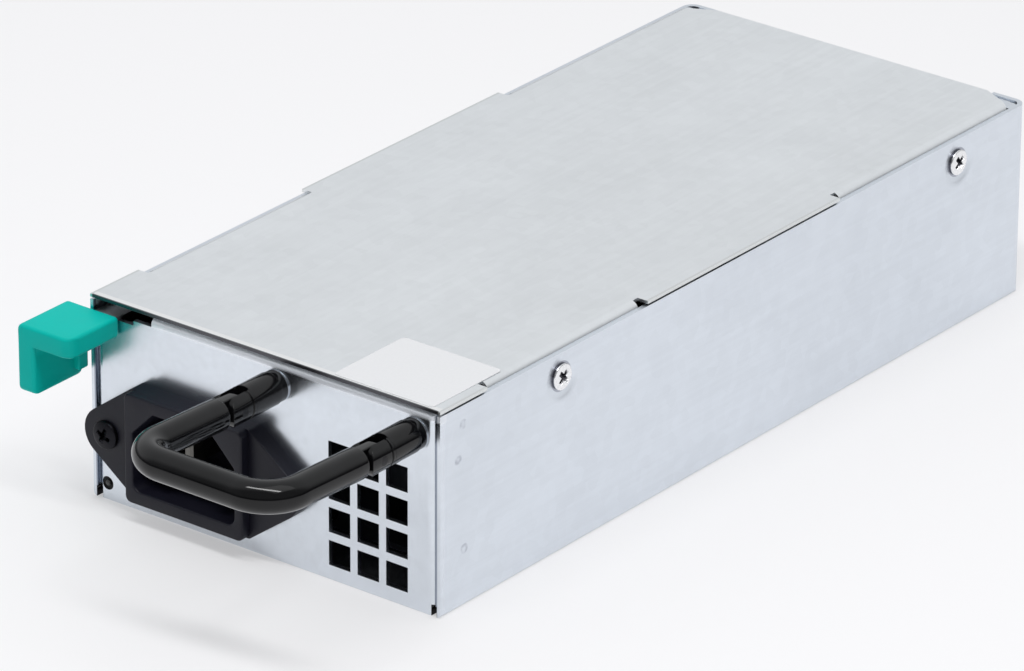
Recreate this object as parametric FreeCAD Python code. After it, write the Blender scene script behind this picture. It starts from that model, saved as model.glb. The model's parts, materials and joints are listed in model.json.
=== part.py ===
import FreeCAD, Part
import math
import os
from FreeCAD import Vector

# Hot swap power supply for a one-unit server, built as an assembly.
#
# Every piece is laid out from the case's front left bottom corner as seen by someone facing the
# inlet: x runs right, y runs back along the case, z runs up. The outer face of the front panel is
# y = 0. When a piece is written it is moved so that the origin is the centre of the case's bottom.
# All sizes are millimetres.

# ---------------------------------------------------------------- case
CASE_W = 82.0
CASE_H = 41.0
CASE_L = 183.5
SHEET = 1.0
BASE_BEND = 0.8
BASE_INNER_BEND = 0.1
PANEL_SIDE_BEND = 1.8
PANEL_TOP_BEND = 1.2
PANEL_FOOT_EDGE = 0.25
RELIEF_X = 1.42
RELIEF_Z = 1.5
RELIEF_R = 0.65
RELIEF_DEEP = 2.6
REAR_BEND = 2.6
COVER_L = 181.5
COVER_SHEET = 0.6
COVER_BEND = 1.8
COVER_GAP = 0.4
COVER_CUT_X = 8.2
COVER_CUT_Y = 3.6
WALL_TOP = CASE_H - COVER_SHEET - COVER_GAP
PANEL_FLANGE = 11.0
PANEL_TOP_FLANGE = 6.0
LEFT_FLANGE_LOW = 7.0
LEFT_FLANGE_TOP = 18.5
RETURN_LIP = 8.0
COVER_FLANGE_LOW = 31.0
FLANGE_ZONES = [(14.3, 60.3), (121.8, 178.0)]
NOTCH_LONG = 1.5
NOTCH_DEEP = 2.4

# exhaust end
REAR_FACE = CASE_L - SHEET
REAR_PANEL_SIDE = SHEET + REAR_BEND - 0.9
REAR_FOOT = 12.0
REAR_HEM = 6.5
REAR_EAR = 4.0
REAR_PANEL_BEND = 1.2
REAR_VENT_COLUMNS = 9
REAR_VENT_ROWS = 3
REAR_VENT_Z = 24.0
BOARD_SLOT_PLAY = 0.8
REAR_SCREW_X = 5.6
REAR_SCREW_Z = 33.0

# screws that hold the cover, through dimples in both side walls
COVER_SCREW_Y = [35.6, 160.4]
COVER_SCREW_Z = 35.0
DIMPLE_R = 5.0
DIMPLE_SEAT_R = 3.0
DIMPLE_DEEP = 0.4
SCREW_R = 1.5
COVER_HEAD_R = 2.6
COVER_HEAD_T = 0.9
COVER_SHANK = 3.4

# the two screws of the exhaust end
REAR_HEAD_R = 2.5
REAR_HEAD_T = 1.2
REAR_SHANK = 4.0

# blank sticker on the cover: left, right, front, back and its thickness
LABEL_X = [56.9, 79.7]
LABEL_Y = [0.7, 20.9]
LABEL_T = 0.12

# spot welds that join the front panel's flanges to the side walls
WELD_Y = 5.2
WELD_Z = [7.4, 12.1, 28.1, 35.2]
WELD_R = 1.7
WELD_DEEP = 0.15

# ---------------------------------------------------------------- front panel
VENT_HOLE = 5.0
VENT_PITCH = 6.65
VENT_COLUMNS = 3
VENT_ROWS = 4
VENT_X = 65.45
VENT_Z = 15.45

INLET_X = 26.2
INLET_Z = 15.4
EAR_THICK = 3.2
BOSS_PROUD = 5.3
BOSS_HALF_W = 14.0
BOSS_HALF_H = 11.0
EAR_HALF_W = 25.5
EAR_TIP_R = 5.0
SCREW_SPACING = 40.0
BODY_HALF_W = 13.5
BODY_HALF_H = 9.8
BODY_BACK = 14.0
CAVITY_W = 24.2
CAVITY_H = 16.6
CAVITY_CHAMFER = 5.0
CAVITY_CORNER = 1.8
CAVITY_BACK = 11.5
PIN_TIP = -3.8
PIN_TAB = 21.0
PIN_THICK = 2.0
PIN_TALL = 4.0
PIN_OFFSETS = [(-7.0, -2.0), (7.0, -2.0), (0.0, 2.0)]
INLET_HEAD_R = 2.8
INLET_HEAD_T = 1.7
INLET_SHANK = 8.5

LED_X = 3.45
LED_Z = 3.45
LED_R = 1.35
LED_PROUD = 0.2
LED_BODY_R = 1.7
LED_BODY_LONG = 4.0

# ---------------------------------------------------------------- handle
HANDLE_Z = 35.3
HANDLE_TILT = 2.4
LEG_X = [44.2, 76.2]
TUBE_R = 3.1
SOCKET_R = 3.25
COLLAR_R = 3.1
COLLAR_LONG = 2.0
CREASE_Y = -10.0
CREASE_WIDE = 0.5
CREASE_DEEP = 0.12
PIVOT_Y = -12.4
BAR_Y = -39.8
CORNER_R = 7.1
TONGUE = 2.2
FORK_GAP = 2.6
TONGUE_R = 2.7
SHOULDER = 3.6
HINGE_PIN_R = 0.9
HINGE_PLAY = 0.05
SPIGOT_R = 1.5
PEEN_R = 1.9
PEEN_THICK = 0.9

# ---------------------------------------------------------------- latch
PAD_LEFT = -5.5
PAD_RIGHT = 7.3
PAD_FRONT = -14.2
PAD_BACK = -0.4
PAD_TOP = 38.5
PAD_LOW = 24.7
PAD_PLATE = 4.1
PAD_WALL = 4.0
PAD_EDGE = 1.0
PAD_CORNER = 2.4
PAD_FOOT = 1.6
PAD_RIB = 2.6
LEAF_X = 1.3
LEAF_T = 0.5
STRIP_TOP = 38.1
STRIP_RIGHT = 6.8
STRIP_FRONT = -9.0
LEAF_FRONT = 2.0
LEAF_STEP_Y = 11.0
LEAF_LOW = 20.0
LEAF_HIGH = 31.0
LEAF_PIVOT_Y = 58.0
LEAF_END_GAP = 0.15
ROOT_BACK = 68.0
NOTCH_RIGHT = 14.7
NOTCH_HIGH = 38.4
NOTCH_STEP = 10.4
NOTCH_LOW = 37.45
TOOTH_Y = [18.0, 20.0, 26.0]
TOOTH_OUT = 1.5
TOOTH_Z = [22.0, 30.0]
WINDOW_MARGIN = 0.8
RIVET_R = 1.0

# ---------------------------------------------------------------- fan
FAN_SIDE = 38.0
FAN_DEEP = 28.0
FAN_X = 60.8
FAN_Z = 20.2
FAN_Y = 15.0
FAN_FLANGE = 3.5
DUCT_R = 17.8
BARREL_R = 18.7
BLADE_R = 17.2
HUB_R = 9.6
HUB_WALL = 0.9
BLADES = 7
BLADE_CHORD = 17.0
BLADE_CAMBER = 50.0
BLADE_PITCH = 50.0
BLADE_THICK = 0.9
FAN_HOLE_SPACING = 32.0
BEARING_R = 2.2
SHAFT_R = 1.0

# ---------------------------------------------------------------- boards
WIRE_R = 1.1
WIRE_BEND = 3.0
WIRE_LANDS = [30.0, 30.0, 33.0]
BOARD_Z = 5.0
BOARD_T = 1.6
BOARD_TOP = BOARD_Z + BOARD_T
BOARD_FRONT = 24.0
BOARD_STEP_Y = 48.0
BOARD_STEP_X = 40.0
BOARD_BACK = 176.5
TONGUE_X = [15.0, 67.0]
TONGUE_BACK = 192.0
STANDOFFS = [(6.0, 30.0), (76.0, 56.0), (76.0, 162.5), (6.0, 162.5)]
STANDOFF_R = 2.9

CONTACT_T = 0.1
POWER_CONTACTS = [(17.0, 31.0), (32.5, 46.5)]
SIGNAL_CONTACTS = 10

X_DIR = Vector(1, 0, 0)
Y_DIR = Vector(0, 1, 0)
Z_DIR = Vector(0, 0, 1)

# ring chokes: centre, axis, outer radius, inner radius, thickness
NOISE_CHOKE = (Vector(16.2, 40.0, BOARD_TOP + 13.6), Y_DIR, 10.5, 6.5, 8.0)
BOOST_CHOKE = (Vector(60.0, 62.5, BOARD_TOP + 15.6), Y_DIR, 13.0, 7.0, 11.0)
OUTPUT_CHOKE = (Vector(51.0, 134.0, BOARD_TOP + 12.6), Y_DIR, 10.0, 5.5, 9.0)

# heat sinks: left, right, front, back, height, number of fins, side the fins point to
PRIMARY_SINK = (5.0, 13.0, 82.0, 150.0, 28.0, 6, -1)
SECONDARY_SINK = (68.5, 76.0, 122.0, 156.0, 26.0, 5, 1)

# tall parts on the board
BULK_R = 12.8
CAN_RIM = 0.6
CORE_X = [23.0, 45.0]
CORE_Y = [86.0, 118.0]
CORE_TALL = 28.0
CONTROL_X = 29.0


# ---------------------------------------------------------------- building blocks
def block(x0, x1, y0, y1, z0, z1):
    """A box between two corners."""
    return Part.makeBox(x1 - x0, y1 - y0, z1 - z0, Vector(x0, y0, z0))


def rod(radius, start, along):
    """A cylinder from a start point along a vector."""
    return Part.makeCylinder(radius, along.Length, start, along)


def taper(start_radius, end_radius, start, along):
    """A cone frustum from a start point along a vector."""
    return Part.makeCone(start_radius, end_radius, along.Length, start, along)


def prism(points, along):
    """A closed outline pushed along a vector."""
    outline = Part.makePolygon(points + [points[0]])
    return Part.Face(outline).extrude(along)


def front_prism(points, y0, y1):
    """An (x, z) outline pushed along y."""
    return prism([Vector(x, y0, z) for x, z in points], Vector(0, y1 - y0, 0))


def side_prism(points, x0, x1):
    """A (y, z) outline pushed along x."""
    return prism([Vector(x0, y, z) for y, z in points], Vector(x1 - x0, 0, 0))


def plan_prism(points, z0, z1):
    """An (x, y) outline pushed up."""
    return prism([Vector(x, y, z0) for x, y in points], Vector(0, 0, z1 - z0))


def fused(solids):
    """Several solids made into one, with the seams between coplanar faces removed."""
    return solids[0].multiFuse(solids[1:]).removeSplitter()


def rounded(solid, radius, direction, where):
    """Fillets on the straight edges that run in a direction and whose middle passes a test."""
    chosen = []
    for edge in solid.Edges:
        if not isinstance(edge.Curve, (Part.Line, Part.LineSegment)):
            continue
        if abs(edge.tangentAt(edge.FirstParameter).dot(direction)) < 0.999:
            continue
        if where(edge.CenterOfMass):
            chosen.append(edge)
    return solid.makeFillet(radius, chosen)


def both_sides(solid):
    """A solid and its mirror image in the case's middle plane."""
    middle = Vector(CASE_W / 2, 0, 0)
    return [solid, solid.mirror(middle, X_DIR)]


def revolved(points, centre, axis):
    """A ring from a (radius, height) outline turned about an axis through the centre."""
    side = Z_DIR if abs(axis.dot(Z_DIR)) < 0.5 else X_DIR
    corners = [centre + side * r + axis * h for r, h in points]
    outline = Part.Face(Part.makePolygon(corners + [corners[0]]))
    return outline.revolve(centre, axis, 360)


def bent_rod(points, radius, bend):
    """A round bar along points that turn through right angles, as cylinders and bends."""
    pieces = []
    last = points[0]
    for here, before, after in zip(points[1:-1], points, points[2:]):
        back = (before - here).normalize()
        ahead = (after - here).normalize()
        start = here + back * bend
        centre = start + ahead * bend
        face = Part.Face(Part.Wire([Part.makeCircle(radius, start, back)]))
        pieces.append(face.revolve(centre, ahead.cross(back), 90))
        pieces.append(rod(radius, last, start - last))
        last = here + ahead * bend
    pieces.append(rod(radius, last, points[-1] - last))
    return pieces


def cross_recess(centre, inward, width, arm, depth):
    """The two crossed slots of a cross head, as tools to cut with; inward is along x or y."""
    half = width / 2
    reach = arm / 2
    if abs(inward.x) > 0.5:
        x0, x1 = sorted((centre.x, centre.x + inward.x * depth))
        flat = block(x0, x1, centre.y - reach, centre.y + reach, centre.z - half, centre.z + half)
        tall = block(x0, x1, centre.y - half, centre.y + half, centre.z - reach, centre.z + reach)
    else:
        y0, y1 = sorted((centre.y, centre.y + inward.y * depth))
        flat = block(centre.x - reach, centre.x + reach, y0, y1, centre.z - half, centre.z + half)
        tall = block(centre.x - half, centre.x + half, y0, y1, centre.z - reach, centre.z + reach)
    return [flat, tall]


# ---------------------------------------------------------------- sheet metal
def front_tray():
    """The front panel bent up from the bottom, with side flanges and a top flange."""
    def bends(c):
        return c.y < SHEET + 0.1

    whole = block(SHEET, CASE_W - SHEET, 0, PANEL_FLANGE, 0, WALL_TOP)
    upright = rounded(whole, PANEL_SIDE_BEND, Z_DIR, lambda c: c.y < 0.1)
    level = rounded(whole, PANEL_TOP_BEND, X_DIR, lambda c: c.y < 0.1 and c.z > SHEET)
    level = rounded(level, PANEL_FOOT_EDGE, X_DIR, lambda c: c.y < 0.1 and c.z < SHEET)
    outer = upright.common(level)
    inner = block(2 * SHEET, CASE_W - 2 * SHEET, SHEET, PANEL_FLANGE + 1, SHEET, WALL_TOP - SHEET)
    inner = rounded(inner, PANEL_SIDE_BEND - SHEET, Z_DIR, bends)
    above = WALL_TOP - SHEET - 0.01
    top_trim = block(0, CASE_W, PANEL_TOP_FLANGE, PANEL_FLANGE + 1, above, CASE_H)
    trims = [inner, top_trim]
    for z0, z1 in ((SHEET, LEFT_FLANGE_LOW), (LEFT_FLANGE_TOP, CASE_H)):
        trims.append(block(0, 2 * SHEET + 0.5, SHEET + 0.4, PANEL_FLANGE + 1, z0, z1))
    led_room = rod(LED_BODY_R + 0.1, Vector(LED_X, SHEET, LED_Z), Vector(0, PANEL_FLANGE, 0))
    return outer.cut(trims + [led_room])


def vent_holes(centre_x, centre_z, columns, rows, y0, y1):
    """A grid of square holes, as tools to cut with."""
    holes = []
    for column in range(columns):
        for row in range(rows):
            x = centre_x + (column - (columns - 1) / 2) * VENT_PITCH - VENT_HOLE / 2
            z = centre_z + (row - (rows - 1) / 2) * VENT_PITCH - VENT_HOLE / 2
            holes.append(block(x, x + VENT_HOLE, y0, y1, z, z + VENT_HOLE))
    return holes


def panel_holes():
    """Everything that is cut through the front panel."""
    y0 = -1.0
    y1 = SHEET + 0.6
    through = Vector(0, y1 - y0, 0)
    tools = vent_holes(VENT_X, VENT_Z, VENT_COLUMNS, VENT_ROWS, y0, y1)
    tools.append(block(INLET_X - BODY_HALF_W, INLET_X + BODY_HALF_W, y0, y1,
                       INLET_Z - BODY_HALF_H, INLET_Z + BODY_HALF_H))
    for side in (-1, 1):
        x = INLET_X + side * SCREW_SPACING / 2
        tools.append(rod(SCREW_R, Vector(x, y0, INLET_Z), through))
    for x in LEG_X:
        tools.append(rod(SPIGOT_R, Vector(x, y0, HANDLE_Z), through))
    tools.append(rod(LED_R, Vector(LED_X, y0, LED_Z), through))
    for right, floor in ((NOTCH_STEP, NOTCH_LOW), (NOTCH_RIGHT, NOTCH_HIGH)):
        tools.append(block(SHEET - 0.2, right, y0, PANEL_FLANGE + 1, floor, CASE_H))
    return tools


def dimple(centre, inward):
    """A pressed seat as a tool to cut with: a flat floor whose rim rolls over into the wall."""
    half = (DIMPLE_R + DIMPLE_SEAT_R) / 2
    mid = DIMPLE_DEEP / 2
    steep = mid * 0.35

    def at(radius, deep):
        return centre + Z_DIR * radius + inward * deep

    edges = [Part.LineSegment(at(0, 0), at(DIMPLE_R, 0)).toShape(),
             Part.Arc(at(DIMPLE_R, 0), at((DIMPLE_R + half) / 2, steep), at(half, mid)).toShape(),
             Part.Arc(at(half, mid), at((DIMPLE_SEAT_R + half) / 2, 2 * mid - steep),
                      at(DIMPLE_SEAT_R, DIMPLE_DEEP)).toShape(),
             Part.LineSegment(at(DIMPLE_SEAT_R, DIMPLE_DEEP), at(0, DIMPLE_DEEP)).toShape(),
             Part.LineSegment(at(0, DIMPLE_DEEP), at(0, 0)).toShape()]
    return Part.Face(Part.Wire(edges)).revolve(centre, inward, 360)


def wall_cuts():
    """Dimples, screw holes and spot welds in the right wall, mirrored onto the left one."""
    tools = []
    for y in COVER_SCREW_Y:
        centre = Vector(CASE_W, y, COVER_SCREW_Z)
        tools += both_sides(dimple(centre, Vector(-1, 0, 0)))
        tools += both_sides(rod(SCREW_R, centre, Vector(-3 * SHEET, 0, 0)))
    ball_r = (WELD_R ** 2 + WELD_DEEP ** 2) / (2 * WELD_DEEP)
    for z in WELD_Z:
        centre = Vector(CASE_W, WELD_Y, z)
        tools += both_sides(Part.makeSphere(ball_r, centre + X_DIR * (ball_r - WELD_DEEP)))
    return tools


def folded_box(x0, x1, y0, y1, z0, z1, low_bend, rear_bend):
    """A box with rounded long bottom edges and rounded upright rear edges."""
    whole = block(x0, x1, y0, y1, z0, z1)
    low = rounded(whole, low_bend, Y_DIR, lambda c: c.z < z0 + 0.1)
    upright = rounded(whole, rear_bend, Z_DIR, lambda c: c.y > y1 - 0.1)
    return low.common(upright)


def case_base():
    """Bottom, side walls and front panel folded from one sheet."""
    outer = folded_box(0, CASE_W, 0, CASE_L, 0, WALL_TOP, BASE_BEND, REAR_BEND)
    inner = folded_box(SHEET, CASE_W - SHEET, -1, CASE_L - SHEET, SHEET, CASE_H,
                       BASE_INNER_BEND, REAR_BEND - SHEET)
    rear_gap = block(RETURN_LIP, CASE_W - RETURN_LIP, CASE_L - SHEET, CASE_L + 1, -1, CASE_H)
    lip_relief = block(REAR_BEND, CASE_W - REAR_BEND, CASE_L - SHEET, CASE_L + 1, -1, 2 * SHEET)
    front_gap = block(SHEET, CASE_W - SHEET, -1, PANEL_FLANGE / 2, -1, SHEET)
    shell = outer.cut([inner, rear_gap, lip_relief, front_gap])
    shell = fused([shell, front_tray()])
    relief = block(RELIEF_X - RELIEF_R, RELIEF_X + RELIEF_R, -1, RELIEF_DEEP, -1, RELIEF_Z)
    relief = fused([relief, rod(RELIEF_R, Vector(RELIEF_X, -1, RELIEF_Z),
                                Vector(0, RELIEF_DEEP + 1, 0))])
    window = block(-1, SHEET + 0.5, TOOTH_Y[0] - WINDOW_MARGIN, TOOTH_Y[2] + WINDOW_MARGIN,
                   TOOTH_Z[0] - WINDOW_MARGIN, TOOTH_Z[1] + WINDOW_MARGIN)
    screw_hole = rod(SCREW_R, Vector(REAR_SCREW_X, CASE_L - 3, REAR_SCREW_Z), Vector(0, 5, 0))
    tools = panel_holes() + wall_cuts() + both_sides(relief) + both_sides(screw_hole)
    return shell.cut(tools + [window])


def cover_corner():
    """The wedge cut off the lid's back right corner, as a tool."""
    right = CASE_W + 1
    slope = COVER_CUT_Y / (COVER_CUT_X - SHEET)
    low = COVER_L - slope * (right - CASE_W + COVER_CUT_X)
    points = [(CASE_W - COVER_CUT_X, COVER_L), (right, low), (right, COVER_L + 1),
              (CASE_W - COVER_CUT_X, COVER_L + 1)]
    return plan_prism(points, 0, CASE_H + 1)


def top_cover():
    """A lid whose side flanges tuck inside the walls, with flat stretches that lie over them."""
    lid_low = CASE_H - COVER_SHEET
    outer = block(SHEET, CASE_W - SHEET, 0, COVER_L, COVER_FLANGE_LOW, CASE_H)
    outer = rounded(outer, COVER_BEND, Y_DIR, lambda c: c.z > CASE_H - 0.1)
    inside = SHEET + COVER_SHEET
    inner = block(inside, CASE_W - inside, -1, COVER_L + 1, 0, lid_low)
    inner = rounded(inner, COVER_BEND - COVER_SHEET, Y_DIR, lambda c: c.z > lid_low - 0.1)
    cover = outer.cut(inner)
    flat_zones = [(0, FLANGE_ZONES[0][0]), (FLANGE_ZONES[0][1], FLANGE_ZONES[1][0])]
    trims = []
    lips = []
    for y0, y1 in flat_zones:
        trims += both_sides(block(0, 5, y0 - 0.01, y1, 0, CASE_H + 1))
        lips += both_sides(block(0, 5, y0, y1, lid_low, CASE_H))
    trims.append(block(0, CASE_W, FLANGE_ZONES[1][1], COVER_L + 1, 0, lid_low))
    cover = fused([cover.cut(trims)] + lips)
    notches = both_sides(cover_corner())
    ends = [FLANGE_ZONES[0][0], FLANGE_ZONES[0][1], FLANGE_ZONES[1][0]]
    for y in ends:
        half = NOTCH_LONG / 2
        notches += both_sides(block(-1, NOTCH_DEEP, y - half, y + half, 0, CASE_H + 1))
    for y in COVER_SCREW_Y:
        notches += both_sides(rod(SCREW_R, Vector(0, y, COVER_SCREW_Z), Vector(5, 0, 0)))
    return cover.cut(notches)


def rear_panel():
    """The exhaust end: a plate with a foot and a hem, its vents and the board's slot."""
    edge = REAR_PANEL_SIDE
    whole = block(edge, CASE_W - edge, REAR_FACE - REAR_FOOT, REAR_FACE, SHEET, WALL_TOP)
    whole = rounded(whole, REAR_PANEL_BEND, X_DIR, lambda c: c.y > REAR_FACE - 0.1)
    hollow = block(0, CASE_W, 0, REAR_FACE - SHEET, 2 * SHEET, WALL_TOP - SHEET)
    hollow = rounded(hollow, REAR_PANEL_BEND - SHEET, X_DIR,
                     lambda c: c.y > REAR_FACE - SHEET - 0.1)
    above = WALL_TOP - SHEET - 0.01
    hem_trim = block(0, CASE_W, 0, REAR_FACE - REAR_HEM, above, CASE_H)
    tools = vent_holes(CASE_W / 2, REAR_VENT_Z, REAR_VENT_COLUMNS, REAR_VENT_ROWS,
                       REAR_FACE - 3, CASE_L)
    play = BOARD_SLOT_PLAY
    tools.append(block(TONGUE_X[0] - play, TONGUE_X[1] + play, REAR_FACE - 3, CASE_L,
                       BOARD_Z - play, BOARD_TOP + play))
    tools += both_sides(rod(SCREW_R, Vector(REAR_SCREW_X, REAR_FACE - 3, REAR_SCREW_Z),
                            Vector(0, 5, 0)))
    panel = whole.cut([hollow, hem_trim] + tools)
    ears = block(SHEET, CASE_W - SHEET, REAR_FACE - REAR_EAR, REAR_FACE - REAR_PANEL_BEND,
                 WALL_TOP - SHEET, WALL_TOP)
    ears = rounded(ears, 0.6, Z_DIR, lambda c: c.y > REAR_FACE - REAR_PANEL_BEND - 0.1)
    return fused([panel, ears])


def cover_screws():
    """Four flat cross-head screws through the dimples and the cover's flanges."""
    screws = []
    seat = CASE_W - DIMPLE_DEEP
    for y in COVER_SCREW_Y:
        centre = Vector(seat, y, COVER_SCREW_Z)
        face = centre + X_DIR * COVER_HEAD_T
        head = taper(COVER_HEAD_R, COVER_HEAD_R - 0.4, centre, face - centre)
        shank = rod(SCREW_R, centre, Vector(-COVER_SHANK, 0, 0))
        recess = cross_recess(face, Vector(-1, 0, 0), 0.7, 2.9, 0.6)
        for slot in recess:
            slot.rotate(face, X_DIR, 45)
        screws += both_sides(fused([head, shank]).cut(recess))
    return Part.makeCompound(screws)


def rear_screws():
    """Two pan-head screws that hold the rear panel to the return lips."""
    seat = Vector(REAR_SCREW_X, CASE_L, REAR_SCREW_Z)
    face = seat + Y_DIR * REAR_HEAD_T
    head = taper(REAR_HEAD_R, REAR_HEAD_R - 0.5, seat, face - seat)
    shank = rod(SCREW_R, seat, Vector(0, -REAR_SHANK, 0))
    screw = fused([head, shank]).cut(cross_recess(face, Vector(0, -1, 0), 0.7, 2.6, 0.7))
    return Part.makeCompound(both_sides(screw))


def label_sheet():
    """A thin blank sticker on the cover, beside its front right corner."""
    sheet = block(*LABEL_X, *LABEL_Y, CASE_H, CASE_H + LABEL_T)
    return rounded(sheet, 1.0, Z_DIR, lambda c: True)


# ---------------------------------------------------------------- mains inlet
def ear_outline(thick_from, thick_to):
    """The six-sided flange with round ear tips: a box with a tapered ear on each side."""
    tip = EAR_HALF_W - EAR_TIP_R
    reach = math.hypot(tip - BOSS_HALF_W, BOSS_HALF_H)
    lean = math.atan2(BOSS_HALF_H, BOSS_HALF_W - tip) - math.acos(EAR_TIP_R / reach)
    touch_x = tip + EAR_TIP_R * math.cos(lean)
    touch_z = EAR_TIP_R * math.sin(lean)
    half = [(0, BOSS_HALF_H), (BOSS_HALF_W, BOSS_HALF_H), (touch_x, touch_z),
            (touch_x, -touch_z), (BOSS_HALF_W, -BOSS_HALF_H), (0, -BOSS_HALF_H)]
    solids = []
    for side in (-1, 1):
        points = [(INLET_X + side * x, INLET_Z + z) for x, z in half]
        solids.append(front_prism(points, thick_from, thick_to))
        centre = Vector(INLET_X + side * tip, thick_from, INLET_Z)
        solids.append(rod(EAR_TIP_R, centre, Vector(0, thick_to - thick_from, 0)))
    return fused(solids)


def cavity(y0, y1):
    """The plug's hollow, with its two top corners cut off."""
    half_w = CAVITY_W / 2
    half_h = CAVITY_H / 2
    cut = CAVITY_CHAMFER
    points = [(-half_w, -half_h), (half_w, -half_h), (half_w, half_h - cut),
              (half_w - cut, half_h), (cut - half_w, half_h), (-half_w, half_h - cut)]
    hollow = front_prism([(INLET_X + x, INLET_Z + z) for x, z in points], y0, y1)
    return rounded(hollow, CAVITY_CORNER, Y_DIR, lambda c: c.z < INLET_Z - half_h + 0.1)


def pin_blades(y0, y1):
    """The three contact blades as plain bars."""
    blades = []
    for dx, dz in PIN_OFFSETS:
        x = INLET_X + dx
        z = INLET_Z + dz
        blades.append(block(x - PIN_THICK / 2, x + PIN_THICK / 2, y0, y1,
                            z - PIN_TALL / 2, z + PIN_TALL / 2))
    return blades


def inlet_housing():
    """Black moulded inlet: flange on the panel, boss proud of it and body behind it."""
    flange = ear_outline(-EAR_THICK, 0)
    boss = block(INLET_X - BOSS_HALF_W, INLET_X + BOSS_HALF_W, -BOSS_PROUD, -EAR_THICK,
                 INLET_Z - BOSS_HALF_H, INLET_Z + BOSS_HALF_H)
    boss = rounded(boss, 1.2, Y_DIR, lambda c: True)
    body = block(INLET_X - BODY_HALF_W, INLET_X + BODY_HALF_W, 0, BODY_BACK,
                 INLET_Z - BODY_HALF_H, INLET_Z + BODY_HALF_H)
    body = rounded(body, 1.5, Y_DIR, lambda c: c.z > INLET_Z)
    housing = fused([flange, boss, body])
    tools = [cavity(-BOSS_PROUD - 1, CAVITY_BACK)]
    tools += pin_blades(CAVITY_BACK - 1, BODY_BACK + 1)
    for side in (-1, 1):
        x = INLET_X + side * SCREW_SPACING / 2
        tools.append(rod(SCREW_R, Vector(x, -EAR_THICK - 1, INLET_Z), Vector(0, 6, 0)))
    return housing.cut(tools)


def inlet_pins():
    """Line, neutral and earth blades, with chamfered tips and solder tabs behind."""
    pins = []
    for blade in pin_blades(PIN_TIP, PIN_TAB):
        tip = [e for e in blade.Edges if abs(e.CenterOfMass.y - PIN_TIP) < 0.01]
        pins.append(blade.makeChamfer(0.5, tip))
    return Part.makeCompound(pins)


def inlet_screws():
    """Two pan-head screws through the ears."""
    screws = []
    for side in (-1, 1):
        seat = Vector(INLET_X + side * SCREW_SPACING / 2, -EAR_THICK, INLET_Z)
        face = seat - Y_DIR * INLET_HEAD_T
        head = taper(INLET_HEAD_R, INLET_HEAD_R - 0.7, seat, face - seat)
        shank = rod(SCREW_R, seat, Vector(0, INLET_SHANK, 0))
        screw = fused([head, shank])
        recess = cross_recess(face, Y_DIR, 0.8, 3.0, 1.0)
        screws.append(screw.cut(recess))
    return Part.makeCompound(screws)


def status_led():
    """A small light pipe through the panel's lower left corner."""
    lens = rod(LED_R, Vector(LED_X, -LED_PROUD, LED_Z), Vector(0, SHEET + LED_PROUD, 0))
    body = rod(LED_BODY_R, Vector(LED_X, SHEET, LED_Z), Vector(0, LED_BODY_LONG, 0))
    return fused([lens, body])


# ---------------------------------------------------------------- handle
def socket(x):
    """A fixed sleeve on the panel whose free end is a fork about the hinge pin."""
    sleeve = rod(SOCKET_R, Vector(x, PIVOT_Y, HANDLE_Z), Vector(0, -PIVOT_Y - COLLAR_LONG, 0))
    collar = rod(COLLAR_R, Vector(x, -COLLAR_LONG, HANDLE_Z), Vector(0, COLLAR_LONG, 0))
    knuckle = rod(SOCKET_R, Vector(x, PIVOT_Y - SOCKET_R, HANDLE_Z), Vector(0, SOCKET_R, 0))
    ball = rod(SOCKET_R, Vector(x - SOCKET_R, PIVOT_Y, HANDLE_Z), Vector(2 * SOCKET_R, 0, 0))
    knuckle = knuckle.common(ball)
    spigot = rod(SPIGOT_R, Vector(x, 0, HANDLE_Z), Vector(0, SHEET, 0))
    peen = rod(PEEN_R, Vector(x, SHEET, HANDLE_Z), Vector(0, PEEN_THICK, 0))
    body = fused([sleeve, collar, knuckle, spigot, peen])
    crease_at = Vector(x, CREASE_Y - CREASE_WIDE / 2, HANDLE_Z)
    crease_long = Vector(0, CREASE_WIDE, 0)
    core = rod(SOCKET_R - CREASE_DEEP, crease_at, crease_long)
    crease = rod(SOCKET_R + 1, crease_at, crease_long).cut(core)
    slot = block(x - FORK_GAP / 2, x + FORK_GAP / 2, PIVOT_Y - 9, PIVOT_Y + SOCKET_R,
                 HANDLE_Z - 5, HANDLE_Z + 5)
    bore = rod(HINGE_PIN_R, Vector(x - 5, PIVOT_Y, HANDLE_Z), Vector(10, 0, 0))
    return body.cut([slot, bore, crease])


def handle_pins():
    """The two hinge pins, trimmed to the sleeves' round outline."""
    pins = []
    for x in LEG_X:
        pin = rod(HINGE_PIN_R, Vector(x - 5, PIVOT_Y, HANDLE_Z), Vector(10, 0, 0))
        pins.append(pin.common(rod(SOCKET_R, Vector(x, PIVOT_Y - 5, HANDLE_Z), Vector(0, 10, 0))))
    return Part.makeCompound(pins)


def handle_bail():
    """The round bail, tilted up a little, with a flat tongue at the end of each leg."""
    x0, x1 = LEG_X
    start = PIVOT_Y - SHOULDER
    corners = [(x0, start), (x0, BAR_Y), (x1, BAR_Y), (x1, start)]
    pieces = bent_rod([Vector(x, y, HANDLE_Z) for x, y in corners], TUBE_R, CORNER_R)
    bores = []
    for x in LEG_X:
        flat = block(x - TONGUE / 2, x + TONGUE / 2, start - 1, PIVOT_Y,
                     HANDLE_Z - TONGUE_R, HANDLE_Z + TONGUE_R)
        tip = rod(TONGUE_R, Vector(x - TONGUE / 2, PIVOT_Y, HANDLE_Z), Vector(TONGUE, 0, 0))
        pieces += [flat, tip]
        bores.append(rod(HINGE_PIN_R + HINGE_PLAY, Vector(x - 5, PIVOT_Y, HANDLE_Z),
                         Vector(10, 0, 0)))
    bail = fused(pieces).cut(bores)
    bail.rotate(Vector(0, PIVOT_Y, HANDLE_Z), X_DIR, -HANDLE_TILT)
    return bail


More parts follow.
